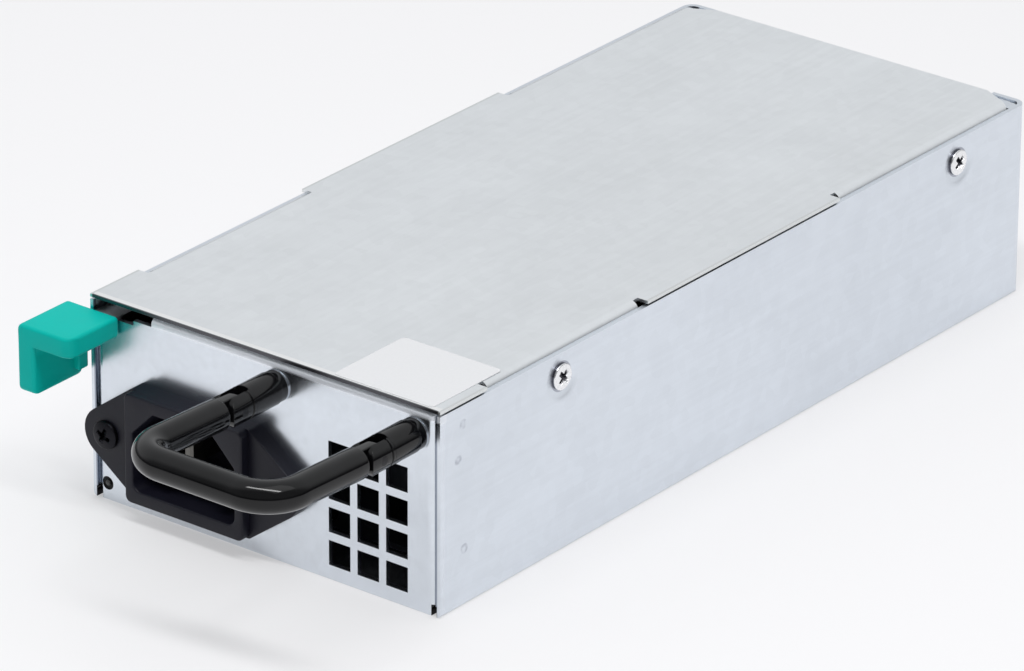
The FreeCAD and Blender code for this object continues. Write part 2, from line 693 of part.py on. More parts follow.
# ---------------------------------------------------------------- latch
def latch_pad():
    """The green finger pad: a top plate and a side plate, moulded round the steel strip."""
    def outer_left(c):
        return c.x < PAD_LEFT + 0.1

    top = block(PAD_LEFT, PAD_RIGHT, PAD_FRONT, PAD_BACK, PAD_TOP - PAD_PLATE, PAD_TOP)
    top = rounded(top, PAD_EDGE, Y_DIR, lambda c: outer_left(c) and c.z > PAD_TOP - 0.1)
    top = rounded(top, PAD_CORNER, Z_DIR, lambda c: c.y < PAD_FRONT + 0.1 and not outer_left(c))
    side = block(PAD_LEFT, PAD_LEFT + PAD_WALL, PAD_FRONT, PAD_BACK, PAD_LOW, PAD_TOP)
    foot = rounded(side, PAD_FOOT, X_DIR, lambda c: c.z < PAD_LOW + 0.1)
    side = rounded(side, PAD_EDGE, Y_DIR, lambda c: outer_left(c) or c.z < PAD_LOW + 0.1)
    side = side.common(foot)
    rib = block(PAD_LEFT, -0.3, PAD_BACK - PAD_RIB, PAD_BACK, PAD_LOW + PAD_FOOT, PAD_TOP)
    rib = rounded(rib, PAD_EDGE, Y_DIR, lambda c: outer_left(c))
    pad = fused([top, side, rib])
    slot = block(LEAF_X, STRIP_RIGHT, STRIP_FRONT, PAD_BACK + 1, STRIP_TOP - LEAF_T, STRIP_TOP)
    return pad.cut(slot)


def latch_leaf():
    """Spring steel: a strip through the panel's notch, bent down into a web and a long leaf."""
    strip = block(LEAF_X, STRIP_RIGHT, STRIP_FRONT, LEAF_STEP_Y, STRIP_TOP - LEAF_T, STRIP_TOP)
    outline = [(LEAF_FRONT, LEAF_LOW), (LEAF_PIVOT_Y - LEAF_END_GAP, LEAF_LOW),
               (LEAF_PIVOT_Y - LEAF_END_GAP, LEAF_HIGH), (LEAF_STEP_Y + 4, LEAF_HIGH),
               (LEAF_STEP_Y, LEAF_HIGH + 4), (LEAF_STEP_Y, STRIP_TOP), (LEAF_FRONT, STRIP_TOP)]
    web = side_prism(outline, LEAF_X, LEAF_X + LEAF_T)
    leaf = fused([strip, web])
    return leaf.cut(rivet_shanks(tooth_rivet_spots(), LEAF_X - 1, LEAF_X + 3))


def latch_tooth():
    """The catch: square in front, ramped behind so that sliding home pushes it in."""
    y0, y1, y2 = TOOTH_Y
    outline = [(LEAF_X, y0), (-TOOTH_OUT, y0), (-TOOTH_OUT, y1), (LEAF_X - 0.6, y2), (LEAF_X, y2)]
    tooth = plan_prism(outline, TOOTH_Z[0], TOOTH_Z[1])
    return tooth.cut(rivet_shanks(tooth_rivet_spots(), LEAF_X - 1.4, LEAF_X + 1))


def tooth_rivet_spots():
    """Where the tooth's two rivets sit, as (y, z)."""
    y = (TOOTH_Y[0] + TOOTH_Y[1]) / 2 + 0.8
    return [(y, TOOTH_Z[0] + 2), (y, TOOTH_Z[1] - 2)]


def root_rivet_spots():
    """Where the leaf's root is riveted to the wall, as (y, z)."""
    y = (LEAF_PIVOT_Y + ROOT_BACK) / 2
    return [(y, LEAF_LOW + 2.5), (y, LEAF_HIGH - 2.5)]


def rivet_shanks(spots, x0, x1):
    """Rivet shanks along x at each (y, z) spot."""
    return [rod(RIVET_R, Vector(x0, y, z), Vector(x1 - x0, 0, 0)) for y, z in spots]


def rivets(spots, x0, x1):
    """Shanks with a low head on the inner end."""
    made = []
    for y, z in spots:
        shank = rod(RIVET_R, Vector(x0, y, z), Vector(x1 - x0, 0, 0))
        head = taper(1.8 * RIVET_R, 1.2 * RIVET_R, Vector(x1, y, z), Vector(0.7, 0, 0))
        made.append(fused([shank, head]))
    return Part.makeCompound(made)


def latch_rivets():
    """The rivets that hold the tooth to the leaf."""
    return rivets(tooth_rivet_spots(), LEAF_X - 1.4, LEAF_X + LEAF_T)


def latch_root():
    """The fixed end of the leaf, packed out from the wall."""
    plate = block(SHEET, LEAF_X + LEAF_T, LEAF_PIVOT_Y + LEAF_END_GAP, ROOT_BACK,
                  LEAF_LOW, LEAF_HIGH)
    return plate.cut(rivet_shanks(root_rivet_spots(), 0, 5))


def latch_root_rivets():
    """The rivets that hold the leaf's root to the wall."""
    return rivets(root_rivet_spots(), SHEET, LEAF_X + LEAF_T)


# ---------------------------------------------------------------- fan
def fan_corners(inset):
    """The four corner holes' centres as (x, z)."""
    half = inset / 2
    return [(FAN_X + sx * half, FAN_Z + sz * half) for sx in (-1, 1) for sz in (-1, 1)]


def fan_frame():
    """Two square flanges joined by a barrel, with struts and a motor seat at the outlet."""
    half = FAN_SIDE / 2
    back = FAN_Y + FAN_DEEP
    solids = []
    for y in (FAN_Y, back - FAN_FLANGE):
        flange = block(FAN_X - half, FAN_X + half, y, y + FAN_FLANGE, FAN_Z - half, FAN_Z + half)
        solids.append(rounded(flange, 2.5, Y_DIR, lambda c: True))
    axis_start = Vector(FAN_X, FAN_Y, FAN_Z)
    along = Vector(0, FAN_DEEP, 0)
    solids.append(rod(BARREL_R, axis_start, along))
    body = fused(solids).cut(rod(DUCT_R, axis_start - Y_DIR, along + 2 * Y_DIR))
    seat = rod(HUB_R, Vector(FAN_X, back - 2.2, FAN_Z), Vector(0, 2.2, 0))
    struts = []
    for turn in range(4):
        strut = block(FAN_X, FAN_X + DUCT_R + 0.4, back - 2.2, back, FAN_Z - 0.9, FAN_Z + 0.9)
        strut.rotate(Vector(FAN_X, 0, FAN_Z), Y_DIR, 25 + 90 * turn)
        struts.append(strut)
    tube = rod(BEARING_R, Vector(FAN_X, FAN_Y + 6, FAN_Z), Vector(0, FAN_DEEP - 6, 0))
    body = fused([body, seat, tube] + struts)
    tools = [rod(SHAFT_R + HINGE_PLAY, Vector(FAN_X, FAN_Y, FAN_Z), Vector(0, FAN_DEEP - 1, 0))]
    for x, z in fan_corners(FAN_HOLE_SPACING):
        tools.append(rod(1.5, Vector(x, FAN_Y - 1, z), along + 2 * Y_DIR))
    return body.cut(tools)


def fan_stator():
    """The motor's laminations and coils on the bearing tube."""
    y0 = FAN_Y + 12
    ring = rod(7.6, Vector(FAN_X, y0, FAN_Z), Vector(0, 8, 0))
    gaps = []
    for turn in range(4):
        gap = block(FAN_X + 3.6, FAN_X + 9, y0 - 1, y0 + 9, FAN_Z - 0.7, FAN_Z + 0.7)
        gap.rotate(Vector(FAN_X, 0, FAN_Z), Y_DIR, 45 + 90 * turn)
        gaps.append(gap)
    bore = rod(BEARING_R + 0.04, Vector(FAN_X, y0 - 1, FAN_Z), Vector(0, 10, 0))
    return ring.cut(gaps + [bore])


def fan_blade(turn):
    """One cambered blade: a pitched arc strip pushed outwards from the hub."""
    half = math.radians(BLADE_CAMBER) / 2
    bow = BLADE_CHORD / 2 / math.sin(half)
    pitch = math.radians(BLADE_PITCH)
    root = HUB_R - HUB_WALL / 2

    def on_arc(radius, angle):
        along = radius * math.sin(angle)
        out = radius * math.cos(angle) - bow
        x = along * math.cos(pitch) - out * math.sin(pitch)
        y = along * math.sin(pitch) + out * math.cos(pitch)
        return Vector(FAN_X + x, FAN_Y + FAN_DEEP / 2 - 0.4 + y, FAN_Z + root)

    inner = bow - BLADE_THICK / 2
    outer = bow + BLADE_THICK / 2
    edges = [Part.Arc(on_arc(inner, -half), on_arc(inner, 0), on_arc(inner, half)).toShape(),
             Part.LineSegment(on_arc(inner, half), on_arc(outer, half)).toShape(),
             Part.Arc(on_arc(outer, half), on_arc(outer, 0), on_arc(outer, -half)).toShape(),
             Part.LineSegment(on_arc(outer, -half), on_arc(inner, -half)).toShape()]
    blade = Part.Face(Part.Wire(edges)).extrude(Vector(0, 0, BLADE_R + 2 - root))
    blade.rotate(Vector(FAN_X, 0, FAN_Z), Y_DIR, 360.0 * turn / BLADES)
    return blade


def fan_impeller():
    """The hub cup with its ring of blades, trimmed to the duct's clearance."""
    y0 = FAN_Y + 3.0
    y1 = FAN_Y + FAN_DEEP - 3.4
    disc = rod(BLADE_R, Vector(FAN_X, y0, FAN_Z), Vector(0, y1 - y0, 0))
    cup = rod(HUB_R, Vector(FAN_X, y0, FAN_Z), Vector(0, y1 - y0, 0))
    inside = rod(HUB_R - HUB_WALL, Vector(FAN_X, y0 + 1.2, FAN_Z), Vector(0, y1 - y0, 0))
    blades = [fan_blade(turn).common(disc) for turn in range(BLADES)]
    wheel = fused([cup] + blades)
    bore = rod(SHAFT_R, Vector(FAN_X, y0 - 1, FAN_Z), Vector(0, 4, 0))
    return wheel.cut([inside, bore])


def fan_shaft():
    """The steel shaft fixed in the hub, running in the bearing tube."""
    return rod(SHAFT_R, Vector(FAN_X, FAN_Y + 3.0, FAN_Z), Vector(0, FAN_DEEP - 5.0, 0))


def fan_bracket():
    """A bent plate behind the fan, screwed to it and welded to the case's bottom."""
    y0 = FAN_Y + FAN_DEEP
    half = FAN_SIDE / 2 - 0.4
    plate = block(FAN_X - half, FAN_X + half, y0, y0 + SHEET, SHEET, FAN_Z + half)
    foot = block(FAN_X - half, FAN_X + half, y0, y0 + 7, SHEET, 2 * SHEET)
    bracket = fused([plate, foot])
    tools = [rod(DUCT_R - 0.3, Vector(FAN_X, y0 - 1, FAN_Z), Vector(0, 3, 0))]
    for x, z in fan_corners(FAN_HOLE_SPACING):
        tools.append(rod(1.5, Vector(x, y0 - 1, z), Vector(0, 3, 0)))
    return bracket.cut(tools)


def fan_screws():
    """Four screws through the bracket into the fan's outlet flange."""
    screws = []
    for x, z in fan_corners(FAN_HOLE_SPACING):
        seat = Vector(x, FAN_Y + FAN_DEEP + SHEET, z)
        head = taper(2.1, 1.7, seat, Vector(0, 1.3, 0))
        shank = rod(1.5, seat, Vector(0, -SHEET - FAN_FLANGE, 0))
        screws.append(fused([head, shank]))
    return Part.makeCompound(screws)


# ---------------------------------------------------------------- circuit board and its parts
def board_outline(z0, z1, margin):
    """The board's stepped outline, which leaves room for the fan."""
    m = margin
    points = [(3 - m, BOARD_FRONT - m), (BOARD_STEP_X + m, BOARD_FRONT - m),
              (BOARD_STEP_X + m, BOARD_STEP_Y + 4 - m), (79 + m, BOARD_STEP_Y + 4 - m),
              (79 + m, BOARD_BACK + m), (3 - m, BOARD_BACK + m)]
    return plan_prism(points, z0, z1)


def standoff_holes(radius, z0, z1):
    """Holes on the standoffs' axes, as tools to cut with."""
    return [rod(radius, Vector(x, y, z0), Vector(0, 0, z1 - z0)) for x, y in STANDOFFS]


def main_board():
    """The main circuit board, with the tongue that plugs into the server."""
    board = board_outline(BOARD_Z, BOARD_TOP, 0)
    tongue = block(TONGUE_X[0], TONGUE_X[1], BOARD_BACK - 1, TONGUE_BACK, BOARD_Z, BOARD_TOP)
    tongue = rounded(tongue, 0.5, X_DIR, lambda c: c.y > TONGUE_BACK - 0.1)
    key = block(48.0, 49.8, TONGUE_BACK - 8.5, TONGUE_BACK + 1, BOARD_Z - 1, BOARD_TOP + 1)
    board = fused([board, tongue])
    return board.cut(standoff_holes(SCREW_R, BOARD_Z - 1, BOARD_TOP + 1) + [key])


def card_contacts():
    """Gold contact strips on both faces of the tongue: two power lands and a signal row."""
    lands = list(POWER_CONTACTS)
    for index in range(SIGNAL_CONTACTS):
        x = 51.0 + 1.5 * index
        lands.append((x, x + 0.9))
    strips = []
    for x0, x1 in lands:
        for z in (BOARD_Z - CONTACT_T, BOARD_TOP):
            strips.append(block(x0, x1, TONGUE_BACK - 8.0, TONGUE_BACK - 0.8, z, z + CONTACT_T))
    return Part.makeCompound(strips)


def insulation_sheet():
    """A thin sheet between the board and the case's bottom."""
    sheet = board_outline(SHEET, SHEET + 0.4, -0.6)
    rear_foot = block(0, CASE_W, REAR_FACE - REAR_FOOT - 0.5, CASE_L, 0, 3 * SHEET)
    return sheet.cut(standoff_holes(STANDOFF_R + 0.1, 0, 3) + [rear_foot])


def board_standoffs():
    """Six-sided threaded posts under the board."""
    posts = []
    for x, y in STANDOFFS:
        corners = []
        for turn in range(6):
            angle = math.radians(60 * turn)
            corners.append((x + STANDOFF_R * math.cos(angle), y + STANDOFF_R * math.sin(angle)))
        post = plan_prism(corners, SHEET, BOARD_Z)
        posts.append(post.cut(rod(SCREW_R, Vector(x, y, SHEET + 0.8), Vector(0, 0, 9))))
    return Part.makeCompound(posts)


def board_screws():
    """Screws that hold the board to its posts."""
    screws = []
    for x, y in STANDOFFS:
        seat = Vector(x, y, BOARD_TOP)
        head = taper(2.6, 2.0, seat, Vector(0, 0, 1.4))
        screws.append(fused([head, rod(SCREW_R, seat, Vector(0, 0, -4.4))]))
    return Part.makeCompound(screws)


def ring_core(centre, axis, outer, inner, thick):
    """A choke's ring core."""
    half = thick / 2
    return revolved([(inner, -half), (outer, -half), (outer, half), (inner, half)], centre, axis)


def ring_turns(centre, axis, outer, inner, thick, angles, wire):
    """Turns of wire round a ring core, each a closed square loop about the core's section."""
    turns = []
    side = Z_DIR if abs(axis.dot(Z_DIR)) < 0.5 else X_DIR
    across = axis.cross(side)
    flat = math.sqrt(inner ** 2 - (wire / 2) ** 2)
    for angle in angles:
        loop = ring_loop(centre, side, axis, across, outer + wire, flat - wire,
                         thick + 2 * wire, wire)
        hole = ring_loop(centre, side, axis, across, outer, flat, thick, wire * 3)
        turn = loop.cut(hole)
        turn.rotate(centre, axis, angle)
        turns.append(turn)
    return Part.makeCompound(turns)


def ring_loop(centre, side, axis, across, outer, inner, thick, width):
    """A bar that spans a ring's section, from its inner to its outer radius."""
    corner = centre + side * inner - axis * (thick / 2) - across * (width / 2)
    points = [corner, corner + side * (outer - inner),
              corner + side * (outer - inner) + axis * thick, corner + axis * thick]
    return prism(points, across * width)


def noise_choke_core():
    return ring_core(*NOISE_CHOKE)


def noise_choke_windings():
    return ring_turns(*NOISE_CHOKE, [30 + 15 * n for n in range(9)]
                      + [210 + 15 * n for n in range(9)], 1.2)


def boost_choke_core():
    return ring_core(*BOOST_CHOKE)


def boost_choke_winding():
    return ring_turns(*BOOST_CHOKE, [18 * n for n in range(19)], 1.5)


def output_choke_core():
    return ring_core(*OUTPUT_CHOKE)


def output_choke_winding():
    return ring_turns(*OUTPUT_CHOKE, [36 * n for n in range(9)], 2.0)


def fuse():
    """A glass fuse between two caps, held by two clips."""
    y0, y1 = 32.0 + 4, 52.0 + 4
    x, z = 32.5, BOARD_TOP + 4.2
    tube = rod(2.5, Vector(x, y0, z), Vector(0, y1 - y0, 0))
    caps = [rod(2.7, Vector(x, y, z), Vector(0, 5, 0)) for y in (y0, y1 - 5)]
    clips = [block(x - 3.1, x + 3.1, y, y + 3, BOARD_TOP, z - 1.2) for y in (y0 + 1, y1 - 4)]
    return fused([tube] + caps + clips)


def boxed(x, y, width, deep, tall, edge):
    """A moulded component standing on the board with rounded upright edges."""
    body = block(x, x + width, y, y + deep, BOARD_TOP, BOARD_TOP + tall)
    return rounded(body, edge, Z_DIR, lambda c: True)


def line_capacitor():
    return boxed(22.5, 60.0, 18.0, 9.0, 16.0, 0.8)


def relay():
    return boxed(5.0, 56.0, 15.0, 19.0, 15.5, 0.6)


def capacitor(centre, radius, along):
    """A can with a turned-in rim at its far end."""
    unit = Vector(along).normalize()
    length = along.Length
    outline = [(0, 0), (radius, 0), (radius, length - CAN_RIM), (radius - CAN_RIM, length),
               (0, length)]
    return revolved(outline, centre, unit)


def bulk_capacitor():
    """The large reservoir capacitor, lying along the case."""
    return capacitor(Vector(62.5, 116.0, BOARD_TOP + BULK_R), BULK_R, Vector(0, -42, 0))


def output_capacitors():
    """A row of upright output capacitors in front of the connector."""
    cans = []
    for index in range(5):
        cans.append(capacitor(Vector(16.5 + 11.5 * index, 163.0, BOARD_TOP), 5.0, Vector(0, 0, 20)))
    return Part.makeCompound(cans)


def heat_sink(x0, x1, y0, y1, tall, fins, toward):
    """An upright finned extrusion: a plate with fins that point across the case."""
    base = 2.5
    plate_x = x0 if toward > 0 else x1 - base
    solids = [block(plate_x, plate_x + base, y0, y1, BOARD_TOP, BOARD_TOP + tall)]
    pitch = tall / fins
    for index in range(fins):
        z = BOARD_TOP + pitch * (index + 0.5)
        solids.append(block(x0, x1, y0, y1, z - 0.7, z + 0.7))
    return fused(solids)


def primary_heat_sink():
    return heat_sink(*PRIMARY_SINK)


def secondary_heat_sink():
    return heat_sink(*SECONDARY_SINK)


def transistor(x, y, toward):
    """A plastic power package with a metal tab and three legs, flat against a heat sink."""
    thick = 4.4 * toward
    x0, x1 = sorted((x, x + thick))
    tab0, tab1 = sorted((x, x + 1.2 * toward))
    leg = x + 2.2 * toward
    z = BOARD_TOP + 6.0
    solids = [block(x0, x1, y, y + 10, z, z + 9),
              block(tab0, tab1, y, y + 10, z, z + 15)]
    for index in range(3):
        centre = y + 2.5 + 2.5 * index
        solids.append(block(leg - 0.4, leg + 0.4, centre - 0.5, centre + 0.5, BOARD_TOP, z))
    return fused(solids)


def primary_transistors():
    """The rectifier and the switching transistors on the primary heat sink."""
    return Part.makeCompound([transistor(13.0, y, 1) for y in (84.0, 100.0, 116.0, 132.0)])


def secondary_transistors():
    return Part.makeCompound([transistor(68.5, y, -1) for y in (124.5, 142.5)])


def transformer_core():
    """Two facing E-shaped ferrite halves with a round centre leg."""
    x0, x1 = CORE_X
    y0, y1 = CORE_Y
    z0 = BOARD_TOP + 1.5
    shell = block(x0, x1, y0, y1, z0, z0 + CORE_TALL)
    hollow = block(x0 - 1, x1 + 1, y0 + 5, y1 - 5, z0 + 5, z0 + CORE_TALL - 5)
    leg = rod(6.0, Vector((x0 + x1) / 2, (y0 + y1) / 2, z0 + 4), Vector(0, 0, CORE_TALL - 8))
    return fused([shell.cut(hollow), leg])


def transformer_windings():
    """The wound bobbin between the core's outer legs, wrapped in tape."""
    x = sum(CORE_X) / 2
    y = sum(CORE_Y) / 2
    z0 = BOARD_TOP + 1.5
    outline = [(6.0, 5.0), (10.8, 5.0), (10.8, CORE_TALL - 5.0), (6.0, CORE_TALL - 5.0)]
    return revolved(outline, Vector(x, y, z0), Z_DIR)


def transformer_base():
    """The bobbin's foot, which carries the core on the board."""
    return block(CORE_X[0] - 1, CORE_X[1] + 1, CORE_Y[0] - 2, CORE_Y[1] + 2,
                 BOARD_TOP, BOARD_TOP + 1.5)


def control_board():
    """An upright daughter board."""
    return block(CONTROL_X, CONTROL_X + 1.2, 124.0, 156.0, BOARD_TOP, BOARD_TOP + 26)


def control_chips():
    """Packages on the daughter board's right face."""
    x = CONTROL_X + 1.2
    chips = [block(x, x + 1.6, 128.0, 138.0, 14.0, 24.0),
             block(x, x + 1.4, 142.0, 148.0, 12.0, 17.0),
             block(x, x + 1.4, 142.0, 148.0, 21.0, 26.0)]
    return Part.makeCompound(chips)


def inlet_wires():
    """Line, neutral and earth wires from the inlet's tabs down to the board."""
    wires = []
    for (dx, dz), land in zip(PIN_OFFSETS, WIRE_LANDS):
        x = INLET_X + dx
        z = INLET_Z + dz
        points = [Vector(x, PIN_TAB, z), Vector(x, land - WIRE_BEND, z),
                  Vector(x, land, z - WIRE_BEND), Vector(x, land, BOARD_TOP)]
        path = Part.makePolygon(points)
        section = Part.Wire([Part.makeCircle(WIRE_R, points[0], Y_DIR)])
        wires.append(path.makePipeShell([section], True, False, 1))
    return Part.makeCompound(wires)


PIECES = {
    "case_base": case_base,
    "top_cover": top_cover,
    "rear_panel": rear_panel,
    "cover_screws": cover_screws,
    "rear_screws": rear_screws,
    "label_sheet": label_sheet,
    "inlet_housing": inlet_housing,
    "inlet_pins": inlet_pins,
    "inlet_screws": inlet_screws,
    "status_led": status_led,
    "handle_socket_left": lambda: socket(LEG_X[0]),
    "handle_socket_right": lambda: socket(LEG_X[1]),
    "handle_pins": handle_pins,
    "handle_bail": handle_bail,
    "latch_pad": latch_pad,
    "latch_leaf": latch_leaf,
    "latch_tooth": latch_tooth,
    "latch_rivets": latch_rivets,
    "latch_root": latch_root,
    "latch_root_rivets": latch_root_rivets,
    "fan_frame": fan_frame,
    "fan_stator": fan_stator,
    "fan_impeller": fan_impeller,
    "fan_shaft": fan_shaft,
    "fan_bracket": fan_bracket,
    "fan_screws": fan_screws,
    "main_board": main_board,
    "card_contacts": card_contacts,
    "insulation_sheet": insulation_sheet,
    "board_standoffs": board_standoffs,
    "board_screws": board_screws,
    "noise_choke_core": noise_choke_core,
    "noise_choke_windings": noise_choke_windings,
    "boost_choke_core": boost_choke_core,
    "boost_choke_winding": boost_choke_winding,
    "output_choke_core": output_choke_core,
    "output_choke_winding": output_choke_winding,
    "fuse": fuse,
    "line_capacitor": line_capacitor,
    "relay": relay,
    "bulk_capacitor": bulk_capacitor,
    "output_capacitors": output_capacitors,
    "primary_heat_sink": primary_heat_sink,
    "primary_transistors": primary_transistors,
    "secondary_heat_sink": secondary_heat_sink,
    "secondary_transistors": secondary_transistors,
    "transformer_core": transformer_core,
    "transformer_windings": transformer_windings,
    "transformer_base": transformer_base,
    "control_board": control_board,
    "control_chips": control_chips,
    "inlet_wires": inlet_wires,
}


def write_pieces():
    """Builds each piece, moves it to the frame's origin and writes it as a STEP file."""
    os.makedirs("parts", exist_ok=True)
    shift = Vector(-CASE_W / 2, -CASE_L / 2, 0)
    for name, build in PIECES.items():
        shape = build()
        shape.translate(shift)
        if not shape.isValid() or not shape.Solids:
            raise ValueError("piece " + name + " is not a valid solid")
        shape.exportStep("parts/" + name + ".step")
        print(name, len(shape.Solids), "solids, volume", round(shape.Volume, 1))


write_pieces()
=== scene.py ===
import json
import math

import bmesh
import bpy
import numpy as np
from bpy.props import FloatProperty, FloatVectorProperty, IntProperty, PointerProperty
from bpy.types import Operator, Panel, PropertyGroup
from mathutils import Euler, Matrix, Vector


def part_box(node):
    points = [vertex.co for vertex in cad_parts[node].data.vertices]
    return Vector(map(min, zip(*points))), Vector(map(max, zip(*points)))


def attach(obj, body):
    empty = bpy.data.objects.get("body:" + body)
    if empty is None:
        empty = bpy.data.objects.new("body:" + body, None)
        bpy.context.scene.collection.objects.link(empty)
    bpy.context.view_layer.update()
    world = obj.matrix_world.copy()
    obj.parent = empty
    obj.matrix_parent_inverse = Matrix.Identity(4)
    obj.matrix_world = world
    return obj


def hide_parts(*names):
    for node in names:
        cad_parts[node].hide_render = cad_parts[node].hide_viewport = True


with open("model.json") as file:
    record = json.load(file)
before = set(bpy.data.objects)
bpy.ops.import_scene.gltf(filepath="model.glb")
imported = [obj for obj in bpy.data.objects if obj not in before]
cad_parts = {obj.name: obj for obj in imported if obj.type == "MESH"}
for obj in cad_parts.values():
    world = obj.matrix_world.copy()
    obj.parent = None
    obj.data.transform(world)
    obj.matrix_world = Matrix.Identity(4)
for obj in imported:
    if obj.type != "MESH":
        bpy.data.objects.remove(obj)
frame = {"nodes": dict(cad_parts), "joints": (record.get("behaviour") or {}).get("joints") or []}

bl_info = {
    "name": "Server Power Supply",
    "version": (1, 0, 0),
    "blender": (4, 5, 0),
    "location": "3D View > Sidebar > Power Supply",
    "description": "Dresses a hot swap server power supply and sets it in a studio",
    "category": "Add Mesh",
}

MM = 0.001
# Weld marks on the side walls: how far behind the panel, and how high.
WELDS = ((6.6 * MM, 36.3 * MM), (5.2 * MM, 29.7 * MM), (7.0 * MM, 11.5 * MM))


# ------------------------------------------------------------------ sizes and colours
def length(name, description, millimetres):
    """A size in the sidebar, given in millimetres."""
    return FloatProperty(name=name, description=description, default=millimetres * MM,
                         unit="LENGTH")


def shade(name, description, default):
    """A colour in the sidebar."""
    return FloatVectorProperty(name=name, description=description, default=default,
                               subtype="COLOR", size=3, min=0, max=1)


def factor(name, description, default, low=0.0):
    """A number up to one in the sidebar."""
    return FloatProperty(name=name, description=description, default=default, min=low, max=1.0,
                         subtype="FACTOR")


class SheetMetal(PropertyGroup):
    """The zinc-plated steel of the case and its cover."""

    case: shade("Case Zinc", "Colour of the folded case", (0.765, 0.812, 0.872))
    cover: shade("Cover Zinc", "Colour of the cover", (0.895, 0.922, 0.945))
    contrast: factor("Crystals", "How much darker the dull crystals are", 0.10)
    roughness: factor("Roughness", "How blurred the sheet reflects", 0.34, 0.05)
    front_roughness: factor("Front Roughness", "How blurred the front panel reflects", 0.24, 0.05)
    bend_roughness: factor("Bend Roughness", "Roughness of the panel's top bend", 0.62, 0.05)
    # Painted highlight: the panel's top bend is given a lighter colour than the case.
    bend: shade("Top Bend", "Colour of the panel's top bend", (0.90, 0.93, 0.975))
    # Painted shade: the dark line in the gap where the panel's round side meets the wall.
    seam: shade("Seam", "Colour of the seams beside the panel", (0.30, 0.335, 0.40))
    weld: shade("Weld", "Colour of the weld marks by the panel", (0.50, 0.53, 0.59))
    # Painted shade: the inside of the corner notches is coloured near black.
    dark: shade("Dark", "Colour inside the corner notches", (0.012, 0.012, 0.014))
    # Painted shade: a darker ring round each cover screw, in the gap between head and dimple.
    dimple_shade: shade("Dimple", "Colour round the screws", (0.42, 0.44, 0.50))
    # Painted highlight: the fold just behind the cover's front edge is coloured near white.
    fold_highlight: shade("Front Fold", "Colour of the cover's front fold", (0.99, 0.99, 0.99))
    # Painted shade: the cover's side folds are coloured darker, standing in for a dark reflection.
    fold: shade("Side Fold", "Colour of the cover's side folds", (0.74, 0.765, 0.765))
    # Painted shade: the cover's cut edges at the front and underneath are coloured near black.
    edge: shade("Sheared Edge", "Colour of the cover's cut edges", (0.10, 0.10, 0.11))


class BailSizes(PropertyGroup):
    """The folding handle."""

    bend: length("Bend Radius", "Radius of the grip's two corners", 7.1)
    shoulder: length("Shoulder", "From the hinge pin to the leg's end", 3.6)
    tongue: length("Tongue", "Thickness of the tongue in the fork", 2.2)
    tongue_radius: length("Tongue Radius", "Radius of the tongue's tip", 2.7)
    pin_radius: length("Pin Hole", "Radius of the hole for the pin", 0.95)
    fork_gap: length("Fork Gap", "Width of the slot in the sleeve", 2.6)
    collar_radius: length("Collar Radius", "Radius next to the panel", 3.1)
    collar: length("Collar", "Length of the collar on the panel", 2.0)
    crease_place: length("Crease", "From the panel to the crease", 10.0)
    crease_width: length("Crease Width", "Width of the crease", 0.5)
    crease_depth: length("Crease Depth", "Depth of the crease", 0.25)
    around: IntProperty(name="Sides", description="Points round the bar", default=64, min=12)
    colour: shade("Coating", "Colour of the handle's coating", (0.003, 0.003, 0.0035))
    bare: shade("Bare Steel", "Colour of the steel at the sleeve's foot", (0.46, 0.48, 0.51))


class GripSizes(PropertyGroup):
    """The latch's green finger pad."""

    top_thickness: length("Top Plate", "Thickness of the top plate", 4.1)
    side_thickness: length("Side Plate", "Thickness of the side plate", 4.0)
    edge: length("Edge Radius", "Rounding of the pad's edges", 0.7)
    fold: length("Fold Radius", "Rounding between top and side plate", 1.1)
    corner: length("Corner Radius", "Rounding of the front right corner", 2.4)
    foot: length("Foot Radius", "Rounding of the side plate's low corners", 1.6)
    rib: length("Rib", "Thickness of the rib at the back", 2.6)
    colour: shade("Plastic", "Colour of the pad", (0.001, 0.505, 0.440))


class InletSizes(PropertyGroup):
    """The mains inlet."""

    flange: length("Flange", "Thickness of the flange", 3.2)
    boss_width: length("Boss Width", "Width of the boss", 28.0)
    ear_radius: length("Ear Radius", "Radius of the flange's ears", 5.0)
    plug_width: length("Plug Width", "Width of the plug's hollow", 24.2)
    plug_height: length("Plug Height", "Height of the plug's hollow", 16.6)
    plug_depth: length("Plug Depth", "Depth of the plug's hollow", 16.8)
    plug_cut: length("Corner Cut", "The hollow's two cut corners", 5.0)
    plug_round: length("Corner Rounding", "The hollow's two low corners", 1.8)
    body_width: length("Body Width", "Width of the body in the case", 27.0)
    body_height: length("Body Height", "Height of the body in the case", 19.6)
    colour: shade("Plastic", "Colour of the inlet", (0.006, 0.006, 0.014))


class ScrewSizes(PropertyGroup):
    """The cross-head screws that show."""

    inlet_head: length("Inlet Head", "Head radius of the inlet's screws", 2.8)
    inlet_tall: length("Inlet Height", "Height of the inlet's heads", 1.2)
    cover_head: length("Cover Head", "Head radius of the cover's screws", 2.6)
    cover_seat: length("Cover Seat", "Depth of the seat of these heads", 0.9)
    cover_tall: length("Cover Height", "Height of the cover's heads", 0.7)
    rear_head: length("Rear Head", "Head radius of the rear's screws", 2.5)
    rear_tall: length("Rear Height", "Height of the rear's heads", 1.2)
    recess_width: length("Recess Width", "Width of the cross's arms", 0.85)
    recess_depth: length("Recess Depth", "Depth of the cross", 1.0)
    # Painted shade: this colour darkens the cross and the sides of the cover's screw heads.
    recess_shade: shade("Grime", "Colour of the dirt in the cover's screws", (0.16, 0.16, 0.18))


class LabelLooks(PropertyGroup):
    """The blank sticker."""

    corner: length("Corner Radius", "Rounding of the sticker's corners", 1.0)
    colour: shade("Film", "Colour of the sticker", (0.75, 0.755, 0.77))


